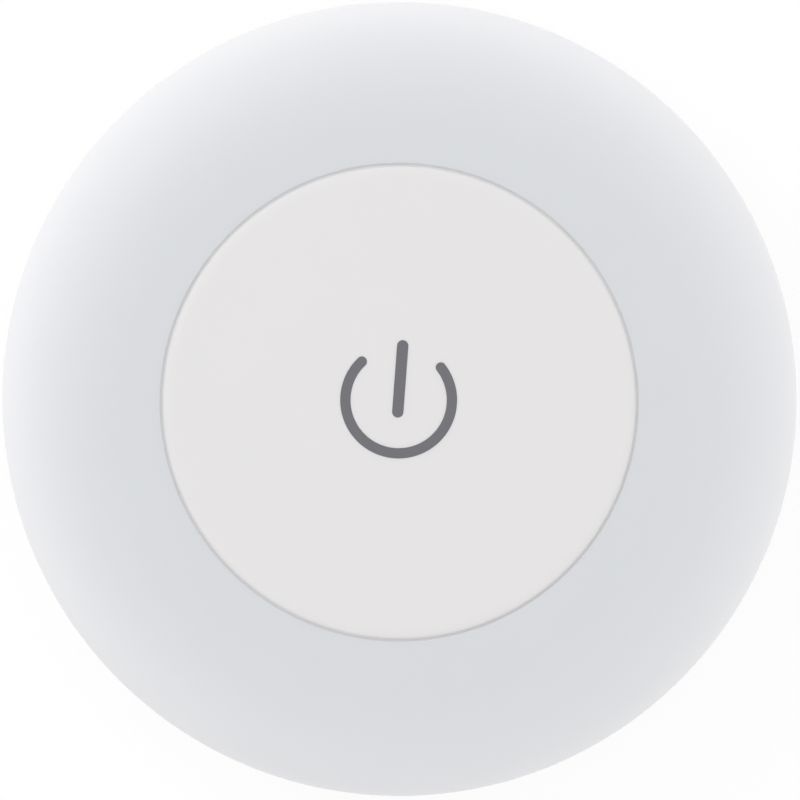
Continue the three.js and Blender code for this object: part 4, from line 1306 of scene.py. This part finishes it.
def screw_solid(node):
    """A pan-head screw with a cross recess and a thread."""
    tip, top = heights(node)
    seat = top - HEAD_HEIGHT
    shank = turned(
        [
            (0, tip),
            (TIP_RADIUS, tip + TIP_EDGE),
            (SHANK_RADIUS, tip + TIP_HEIGHT),
            (SHANK_RADIUS, seat),
            (HEAD_RADIUS - HEAD_EDGE, seat),
            (HEAD_RADIUS, seat + HEAD_EDGE),
            *fillet(HEAD_RADIUS, top, HEAD_FILLET, OUT_UP),
            (0, top),
        ],
        SMALL,
    )
    cross = [
        bar(-CROSS_REACH, CROSS_REACH, CROSS_WIDTH, top - CROSS_DEPTH, top + OVERRUN, angle)
        for angle in QUARTERS[:2]
    ]
    turns = int((seat - tip - THREAD_SPARE) / THREAD_PITCH)
    thread = thread_solid(tip + THREAD_START, turns)
    return shank.cut(cross).joined([thread]).moved(*screw_place(node))


def thread_solid(foot, turns):
    """A ridge wound round a screw's shank."""
    root, half = SHANK_RADIUS - THREAD_SINK, THREAD_PITCH * THREAD_ROOT
    profile = [
        (root, foot - half),
        (THREAD_RADIUS, foot - THREAD_CREST),
        (THREAD_RADIUS, foot + THREAD_CREST),
        (root, foot + half),
    ]
    steps = THREAD_STEPS * turns
    return turned(profile, steps, 180 * turns, 360 * turns, THREAD_PITCH / THREAD_STEPS)


def bump():
    """The raised spot of a contact that meets a cell's nub, on a plate at height 0."""
    return turned(
        [
            (0, -CONTACT_THICKNESS / 2),
            (BUMP_RADIUS, -CONTACT_THICKNESS / 2),
            *fillet(BUMP_RADIUS, BUMP_HEIGHT, BUMP_HEIGHT, OUT_UP, BUMP_STEPS),
            (0, BUMP_HEIGHT),
        ],
        SMALL,
    )


def contact_coil():
    """The tapered spring of a contact that meets a cell's flat end."""
    return wound(CONTACT_COIL_FOOT, CONTACT_COIL_TIP, CONTACT_COIL_LENGTH)


def contact_solid(span, touches, tab):
    """A contact at the tray's +Y end: its plate, what meets the cells, and an end's tab."""
    half, side = CONTACT_HEIGHT / 2, TAB_WIDTH / 2
    extras = [touch.moved(x, CONTACT_FACE, CELL_MIDDLE, tilt=90) for x, touch in touches]
    if tab:
        foot = TAB_PLACE - side, CONTACT_FACE, CELL_MIDDLE
        extras.append(box(foot, (TAB_PLACE + side, CONTACT_BACK, TAB_TOP), CONTACT_EDGE))
    foot = span[0], CONTACT_FACE, CELL_MIDDLE - half
    return box(foot, (span[1], CONTACT_BACK, CELL_MIDDLE + half), CONTACT_EDGE).joined(extras)


def cup_solid():
    """The button's cup: a wall with hook windows, four spokes, and the spring's hub."""
    wall = turned(
        [
            (CUP_RADIUS, CUP_BOTTOM),
            (CUP_OUTER, CUP_BOTTOM),
            *fillet(CUP_OUTER, CUP_TOP, CUP_EDGE, OUT_UP, CUP_EDGE_STEPS),
            *fillet(CUP_RADIUS, CUP_TOP, CUP_EDGE, IN_UP, CUP_EDGE_STEPS),
        ]
    )
    hub = turned(
        [
            (HUB_BORE, CUP_BOTTOM),
            (HUB_RADIUS, CUP_BOTTOM),
            (HUB_RADIUS, CUP_FLOOR_TOP),
            (HUB_COLLAR_RADIUS, CUP_FLOOR_TOP),
            *fillet(HUB_COLLAR_RADIUS, HUB_COLLAR_TOP, CUP_EDGE, OUT_UP, CUP_EDGE_STEPS),
            (HUB_BORE, HUB_COLLAR_TOP),
        ],
        MEDIUM,
    )
    spoke = HUB_RADIUS - ROOT, CUP_RADIUS + ROOT, SPOKE_WIDTH, CUP_BOTTOM, CUP_FLOOR_TOP
    spokes = [bar(*spoke, angle, CUP_EDGE) for angle in QUARTERS]
    radii = CUP_RADIUS - OVERRUN, CUP_OUTER + OVERRUN
    levels = HOOK_BOTTOM - PRESS_TRAVEL - SLIDE_GAP, HOOK_BOTTOM + HOOK_HEIGHT + SEAT_GAP
    windows = [arc(*radii, *levels, angle, HOOK_WIDTH + 2 * HOOK_PLAY) for angle in DIAGONALS]
    holes = []
    for screw in SCREWS[:2]:
        place = screw_place(screw)
        seat = high(screw).z - HEAD_HEIGHT - SEAT_GAP
        holes.append(post(PILOT_RADIUS, CUP_BOTTOM - OVERRUN, CUP_TOP, *place))
        holes.append(post(HEAD_RADIUS + FIT_GAP, seat, CUP_TOP, *place))
    rooms = tab_rooms(CUP_BOTTOM - OVERRUN, TAB_TOP + FIT_GAP)
    return wall.joined([hub, *spokes]).cut([*windows, *holes, *rooms])


def board_solid():
    """The round board, with its screw holes, tab slots and key notch."""
    below, above = BOARD_BOTTOM - OVERRUN, BOARD_TOP + OVERRUN
    holes = [post(PILOT_RADIUS, below, above, *screw_place(screw)) for screw in SCREWS]
    start, end = -BOARD_RADIUS - OVERRUN, -KEY_INNER + FIT_GAP
    notch = bar(start, end, KEY_WIDTH + 2 * FIT_GAP, below, above)
    disc = post(BOARD_RADIUS, BOARD_BOTTOM, BOARD_TOP, facets=WIDE)
    return disc.cut([*holes, notch, *tab_rooms(below, above)])


def led_solid():
    """A light source on height 0: a package with a pad at each end, and a cup of phosphor."""
    x, y, top = LED_SIZE[0] / 2, LED_SIZE[1] / 2, LED_SIZE[2]
    package = block(x, y - LED_PAD, 0, top, LED_EDGE)
    pads = block(x * LED_PAD_SHARE, y, 0, LED_PAD_HEIGHT, LED_PAD_EDGE)
    cup = turned(
        [
            (0, top - LED_CUP_DEPTHS[0]),
            (LED_CUP_RADIUS - LED_CUP_SLOPE, top - LED_CUP_DEPTHS[1]),
            (LED_CUP_RADIUS + LED_CUP_FLARE, top + ROOT),
            (0, top + ROOT),
        ],
        SMALL,
    )
    return package.joined([pads]).cut([cup])


def chip_solid():
    """The control chip on height 0: a package with a dimple, over two rows of bent legs."""
    x, y, top = CHIP_SIZE[0] / 2, CHIP_SIZE[1] / 2, CHIP_SIZE[2]
    package = block(x, y, CHIP_STAND, top, CHIP_EDGE)
    corner = CHIP_MARK_PLACE - x, CHIP_MARK_PLACE - y
    mark = post(CHIP_MARK_RADIUS, top - CHIP_MARK_DEPTH, top + ROOT, *corner)
    half, start = CHIP_LEG_WIDTH / 2, (x + CHIP_LEG_START[0], CHIP_LEG_START[1])
    legs = []
    for index in range(CHIP_LEG_COUNT):
        place = (index - (CHIP_LEG_COUNT - 1) / 2) * CHIP_LEG_PITCH
        for angle in BOTH_ENDS:
            leg = slab(start, CHIP_LEG_STEPS, -half, half)
            legs.append(leg.moved(y=place, tilt=90).moved(angle=angle))
    return package.cut([mark]).joined(legs)


def capped_solid(size, cap):
    """A small part on height 0, with a cap a little proud at both ends."""
    x, y, top = size[0] / 2, size[1] / 2, size[2]
    body = block(x - cap / 2, y - CAP_PROUD, CAP_PROUD, top - CAP_PROUD, CAPPED_EDGE)
    return body.joined([bar(x - cap, x, size[1], 0, top, angle, CAP_EDGE) for angle in BOTH_ENDS])


def square_plate(bottom, top):
    """The switch's square outline with cut corners, between two heights."""
    half, cut = SWITCH_SIZE / 2, SWITCH_CORNER
    side = SWITCH_SIZE - 2 * cut
    right = [(cut, cut), (0, side), (-cut, cut), (-side, 0)]
    left = [(-x, -y) for x, y in right]
    return slab((half - cut, -half), right + left, bottom, top)


def rivets(radius, bottom, top):
    """The four posts that hold the switch's cover."""
    rivet = radius, bottom, top, RIVET_PLACE, RIVET_PLACE
    return [post(*rivet).moved(angle=angle) for angle in QUARTERS]


def switch_body_solid():
    """The switch's base, with a well for the plunger and four rivets."""
    well = post(WELL_RADIUS, SWITCH_TOP - WELL_DEPTH, SWITCH_TOP + OVERRUN, facets=MEDIUM)
    base = square_plate(SWITCH_BOTTOM, SWITCH_TOP).cut([well])
    return base.joined(rivets(RIVET_RADIUS, SWITCH_TOP - ROOT, COVER_TOP + RIVET_RISE))


def switch_cover_solid():
    """The sheet cover, with a hole for the plunger and one for each rivet."""
    below, above = COVER_BOTTOM - OVERRUN, COVER_TOP + OVERRUN
    hole = post(PLUNGER_RADIUS + FIT_GAP, below, above, facets=MEDIUM)
    rivet_holes = rivets(RIVET_RADIUS + RIVET_PLAY, below, above)
    return square_plate(COVER_BOTTOM, COVER_TOP).cut([hole, *rivet_holes])


def plunger_solid():
    """The plunger, with a flange behind the cover and a rounded top."""
    flange_top = PLUNGER_BOTTOM + FLANGE_HEIGHT
    return turned(
        [
            (0, PLUNGER_BOTTOM),
            (FLANGE_RADIUS, PLUNGER_BOTTOM),
            (FLANGE_RADIUS, flange_top),
            (PLUNGER_RADIUS, flange_top),
            *fillet(PLUNGER_RADIUS, PLUNGER_TOP, PLUNGER_EDGE, OUT_UP),
            (0, PLUNGER_TOP),
        ],
        MEDIUM,
    )


class Maker:
    """What all operators of the light have in common."""

    bl_options = {"REGISTER", "UNDO"}


class CABINETLIGHT_OT_studio(Maker, bpy.types.Operator):
    """Sets up the camera, the lamps, the world and the floor"""

    bl_idname = "cabinet_light.studio"
    bl_label = "Studio"

    def execute(self, context):
        scene = context.scene
        studio = scene.cabinet_light_studio
        scene.camera = new_camera(studio)
        for lamp in LAMPS:
            add_lamp(*lamp)
        scene.world = new_world(studio)
        add_floor(studio)
        scene.view_settings.view_transform = "Standard"
        return {"FINISHED"}


def new_camera(studio):
    """A long lens nearly straight over the light, turned as the photograph is."""
    data = bpy.data.cameras.new("camera")
    data.lens = studio.camera_lens
    data.clip_start, data.clip_end = CLIP
    data.shift_x, data.shift_y = PICTURE_SHIFT
    camera = in_scene("camera", data)
    turn = Matrix.Rotation(studio.camera_turn, 3, "Z")
    aside = Vector((math.tan(studio.camera_right), math.tan(studio.camera_above), 1.0))
    away = turn @ aside.normalized()
    right = (turn @ Vector((0, 1, 0))).cross(away).normalized()
    facing = Matrix((right, away.cross(right), away)).transposed().to_4x4()
    middle = Vector((0, 0, DOME_FOOT * MM))
    camera.matrix_world = Matrix.Translation(middle + away * studio.camera_distance) @ facing
    return camera


def add_lamp(name, azimuth, height, distance, size, power):
    """A round soft lamp, turned to the origin."""
    data = bpy.data.lights.new(name, "AREA")
    data.shape = "DISK"
    data.size = size
    data.energy = power
    out, up = polar(distance, height)
    place = Vector((*polar(out, azimuth), up))
    aim = place.to_track_quat("Z", "Y").to_matrix().to_4x4()
    in_scene(name, data).matrix_world = Matrix.Translation(place) @ aim


def seen_directly(graph):
    """1 for rays from the camera, a mirror or a clear piece, 0 for light that falls on things."""
    camera, glossy, clear = (
        graph.add("ShaderNodeLightPath", output=name)
        for name in ("Is Camera Ray", "Is Glossy Ray", "Is Transmission Ray")
    )
    return graph.math("MAXIMUM", graph.math("MAXIMUM", camera, glossy), clear)


def new_world(studio):
    """Even light from all around but the foot's side, in front of a white background."""
    world = bpy.data.worlds.new("studio_world")
    graph = Graph(world, "Generated")
    side = (math.cos(studio.foot_azimuth), math.sin(studio.foot_azimuth), 0.0)
    settings = {"operation": "DOT_PRODUCT"}
    along = graph.add("ShaderNodeVectorMath", settings, {0: graph.place, 1: side}, "Value")
    below = graph.step(0 - graph.part(graph.place, "Z"), -HORIZON, HORIZON)
    foot = graph.math("MAXIMUM", along, 0.0) ** FOOT_POWER
    level = studio.world_level * (1 - below * foot * studio.foot_shade)
    even = graph.add("ShaderNodeBackground", values={"Color": WHITE, "Strength": level})
    white = graph.add("ShaderNodeBackground", values={"Color": WHITE})
    shown = graph.add("ShaderNodeMixShader", values={0: seen_directly(graph), 1: even, 2: white})
    graph.add("ShaderNodeOutputWorld", values={"Surface": shown})
    return world


def add_floor(studio):
    """A pale floor that keeps the shadow, and is seen only from above."""
    bm = bmesh.new()
    bmesh.ops.create_grid(bm, x_segments=1, y_segments=1, size=FLOOR_REACH)
    bmesh.ops.translate(bm, vec=(0, 0, FLOOR_HEIGHT * MM), verts=bm.verts)
    mesh = bpy.data.meshes.new("floor")
    bm.to_mesh(mesh)
    bm.free()
    graph = new_material("floor")
    tone = graph.uneven(studio.floor, amount=0.01, grain=60.0)
    pale = graph.add("ShaderNodeBsdfDiffuse", values={"Color": tone})
    glow = graph.add("ShaderNodeEmission", values={"Color": WHITE, "Strength": studio.floor_glow})
    both = graph.add("ShaderNodeAddShader", values={0: pale, 1: glow})
    clear = graph.add("ShaderNodeBsdfTransparent")
    under = graph.add("ShaderNodeNewGeometry", output="Backfacing")
    shown = seen_directly(graph) * (1 - under)
    mixed = graph.add("ShaderNodeMixShader", values={0: shown, 1: clear, 2: both})
    graph.add("ShaderNodeOutputMaterial", values={"Surface": mixed})
    mesh.materials.append(graph.owner)
    floor = in_scene("floor", mesh)


class CABINETLIGHT_OT_frosted_ring(Maker, bpy.types.Operator):
    """Makes the frosted ring that the light shines through"""

    bl_idname = "cabinet_light.frosted_ring"
    bl_label = "Frosted Ring"

    def execute(self, context):
        scene = context.scene
        plastic = frosted_plastic(scene.cabinet_light_finishes)
        ring = ring_solid(scene.cabinet_light_sizes)
        finished(ring, "frosted_ring", plastic, "lamp", "diffuser_ring", slot="frosted")
        return {"FINISHED"}


class CABINETLIGHT_OT_button(Maker, bpy.types.Operator):
    """Makes the button and the power sign printed on it"""

    bl_idname = "cabinet_light.button"
    bl_label = "Button and Sign"

    def execute(self, context):
        scene = context.scene
        sizes, finishes = scene.cabinet_light_sizes, scene.cabinet_light_finishes
        face = BUTTON_TOP - sizes.print_height / MM
        matt = finishes.button_roughness
        plastic = moulded("button_plastic", finishes.button, matt, mottle=0.006, **MILKY)
        button = button_solid(sizes.button_edge / MM, sizes.button_drop / MM, face)
        finished(button, "press_button", plastic, "button", "button_cap", slot="button_white")
        finished(sign_solid(sizes, face, BUTTON_TOP), "power_sign", printed_ink(finishes), "button")
        return {"FINISHED"}


class CABINETLIGHT_OT_housing(Maker, bpy.types.Operator):
    """Makes the rear housing with its battery tray"""

    bl_idname = "cabinet_light.housing"
    bl_label = "Rear Housing"

    def execute(self, context):
        finishes = context.scene.cabinet_light_finishes
        plastic = moulded("housing_plastic", finishes.shell, finishes.shell_roughness)
        shell = housing_solid()
        finished(shell, "housing_shell", plastic, "lamp", "rear_housing", slot="shell_white")
        return {"FINISHED"}


class CABINETLIGHT_OT_back_plate(Maker, bpy.types.Operator):
    """Makes the back plate and its foam pad"""

    bl_idname = "cabinet_light.back_plate"
    bl_label = "Back Plate and Pad"

    def execute(self, context):
        finishes = context.scene.cabinet_light_finishes
        satin = finishes.shell_roughness + PLATE_MATT
        plastic = moulded("plate_plastic", finishes.shell, satin, grain=0.5, depth=0.01)
        foam = closed_foam(finishes)
        finished(plate_solid(), "back_plate", plastic, "base", "mounting_base", slot="shell_white")
        pad = finished(pad_solid(), "foam_pad", foam, "base", "adhesive_pad", slot="foam")
        return {"FINISHED"}


class CABINETLIGHT_OT_spring(Maker, bpy.types.Operator):
    """Winds the spring that lifts the button"""

    bl_idname = "cabinet_light.spring"
    bl_label = "Button Spring"

    def execute(self, context):
        foot, top = heights("button_spring")
        coil = wound(SPRING_RADIUS, SPRING_RADIUS, top - foot - 2 * WIRE_RADIUS)
        coil.moved(z=foot + WIRE_RADIUS)
        wire = drawn_metal("spring_wire", SPRING_STEEL, roughness=0.3, grain=0.15)
        piece = finished(coil, "lift_spring", wire, "lamp", "button_spring", slot="spring_steel")
        1 - PRESS_TRAVEL / (top - foot)
        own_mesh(piece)
        return {"FINISHED"}


class CABINETLIGHT_OT_cells(Maker, bpy.types.Operator):
    """Makes the three cells"""

    bl_idname = "cabinet_light.cells"
    bl_label = "Cells"

    def execute(self, context):
        jacket = jacket_finish()
        for index, way in enumerate(CELL_WAYS, 1):
            node = f"aaa_cell_{index}"
            cell = cell_solid(node, way)
            finished(cell, f"cell_{index}", jacket, "lamp", node, slot="cell_jacket")
        return {"FINISHED"}


class CABINETLIGHT_OT_screws(Maker, bpy.types.Operator):
    """Makes the four screws"""

    bl_idname = "cabinet_light.screws"
    bl_label = "Screws"

    def execute(self, context):
        zinc = drawn_metal("zinc_plate", ZINC, roughness=0.34, grain=0.4)
        for index, node in enumerate(SCREWS, 1):
            finished(screw_solid(node), f"screw_{index}", zinc, "lamp", node, slot="screw_steel")
        return {"FINISHED"}


class CABINETLIGHT_OT_contacts(Maker, bpy.types.Operator):
    """Makes the four battery contacts"""

    bl_idname = "cabinet_light.contacts"
    bl_label = "Battery Contacts"

    def execute(self, context):
        nickel = drawn_metal("nickel_plate", NICKEL, roughness=0.3, stretch=(0.05, 1, 1))
        outer = CELL_PITCH
        contacts = (
            ("positive_contact", 0, END_SPAN, [(outer, bump())]),
            ("bridge_contact_1", 0, BRIDGE_SPAN, [(-outer, bump()), (0, contact_coil())]),
            ("negative_contact", 180, END_SPAN, [(outer, contact_coil())]),
            ("bridge_contact_2", 180, BRIDGE_SPAN, [(0, bump()), (-outer, contact_coil())]),
        )
        for node, angle, span, touches in contacts:
            solid = contact_solid(span, touches, tab=span == END_SPAN).moved(angle=angle)
            finished(solid, f"{node}_plate", nickel, "lamp", node, slot="nickel")
        return {"FINISHED"}


class CABINETLIGHT_OT_cup(Maker, bpy.types.Operator):
    """Makes the cup that guides the button"""

    bl_idname = "cabinet_light.cup"
    bl_label = "Button Cup"

    def execute(self, context):
        plastic = moulded("cup_plastic", CUP_WHITE, roughness=0.45)
        finished(cup_solid(), "button_cup", plastic, "lamp", "button_frame", slot="inner_white")
        return {"FINISHED"}


class CABINETLIGHT_OT_board(Maker, bpy.types.Operator):
    """Makes the board and the parts that are soldered to it"""

    bl_idname = "cabinet_light.board"
    bl_label = "Board"

    def execute(self, context):
        finished(board_solid(), "board", solder_mask(), "lamp", "circuit_board", slot="board_white")
        package = led_finish()
        for index, angle in enumerate(around(LED_COUNT), 1):
            solid = led_solid().moved(*polar(LED_REACH, angle), PARTS_BOTTOM, angle=angle)
            finished(solid, f"light_{index}", package, "lamp", f"led_{index}", slot="led_package")
        clay = capped_part(
            "capacitor_clay", CAPACITOR, CAPACITOR_ANGLE, CAPACITOR_SIZE, CAPACITOR_CAP
        )
        film = capped_part("resistor_film", RESISTOR, RESISTOR_ANGLE, RESISTOR_SIZE, RESISTOR_CAP)
        capacitor = capped_solid(CAPACITOR_SIZE, CAPACITOR_CAP)
        parts = [
            ("control_chip", chip_solid(), CHIP_ANGLE, chip_finish(), "black_plastic"),
            ("capacitor_1", capacitor, CAPACITOR_ANGLE, clay, "capacitor"),
        ]
        for index, place in enumerate(RESISTOR_PLACES, 1):
            solid = capped_solid(RESISTOR_SIZE, RESISTOR_CAP).moved(y=place)
            parts.append((f"resistor_{index}", solid, RESISTOR_ANGLE, film, "resistor"))
        for node, solid, angle, material, slot in parts:
            solid.moved(*polar(PARTS_REACH, angle), PARTS_BOTTOM, angle=angle)
            finished(solid, f"{node}_part", material, "lamp", node, slot=slot)
        return {"FINISHED"}


class CABINETLIGHT_OT_switch(Maker, bpy.types.Operator):
    """Makes the push switch under the button"""

    bl_idname = "cabinet_light.switch"
    bl_label = "Push Switch"

    def execute(self, context):
        black = moulded(
            "switch_plastic", BLACK, roughness=0.5, grain=0.15, depth=0.006, mottle=0.05
        )
        steel = drawn_metal(
            "switch_sheet", SHEET_STEEL, roughness=0.32, stretch=(1, 0.05, 1), grain=0.15
        )
        base, cover, plunger = switch_body_solid(), switch_cover_solid(), plunger_solid()
        finished(base, "switch_base", black, "lamp", "switch_body", slot="black_plastic")
        finished(cover, "switch_sheet", steel, "lamp", "switch_cover", slot="nickel")
        finished(plunger, "plunger", black, "plunger", "switch_plunger", slot="black_plastic")
        return {"FINISHED"}


OPERATORS = (
    CABINETLIGHT_OT_studio,
    CABINETLIGHT_OT_frosted_ring,
    CABINETLIGHT_OT_button,
    CABINETLIGHT_OT_housing,
    CABINETLIGHT_OT_back_plate,
    CABINETLIGHT_OT_spring,
    CABINETLIGHT_OT_cells,
    CABINETLIGHT_OT_screws,
    CABINETLIGHT_OT_contacts,
    CABINETLIGHT_OT_cup,
    CABINETLIGHT_OT_board,
    CABINETLIGHT_OT_switch,
)

GROUPS = {
    "cabinet_light_sizes": CabinetLightSizes,
    "cabinet_light_finishes": CabinetLightFinishes,
    "cabinet_light_studio": CabinetLightStudio,
}


class CABINETLIGHT_PT_pieces(bpy.types.Panel):
    """Sizes, finishes and pieces of the light"""

    bl_idname = "CABINETLIGHT_PT_pieces"
    bl_label = "Cabinet Light"
    bl_space_type = "VIEW_3D"
    bl_region_type = "UI"
    bl_category = "Cabinet Light"

    def draw(self, context):
        layout = self.layout
        layout.use_property_split = True
        for name, kind in GROUPS.items():
            column = layout.column(align=True)
            for key in kind.__annotations__:
                column.prop(getattr(context.scene, name), key)
        for operator in OPERATORS:
            layout.operator(operator.bl_idname)


CLASSES = (*GROUPS.values(), *OPERATORS, CABINETLIGHT_PT_pieces)


def register():
    """Registers the classes and hangs the settings on the scene."""
    for item in CLASSES:
        bpy.utils.register_class(item)
    for name, group in GROUPS.items():
        setattr(bpy.types.Scene, name, bpy.props.PointerProperty(type=group))


def unregister():
    """Takes the settings off the scene and unregisters the classes."""
    for name in GROUPS:
        delattr(bpy.types.Scene, name)
    for item in reversed(CLASSES):
        bpy.utils.unregister_class(item)


def main():
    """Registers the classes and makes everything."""
    register()
    for operator in OPERATORS:
        group, name = operator.bl_idname.split(".")
        getattr(getattr(bpy.ops, group), name)()


if __name__ == "__main__":
    main()
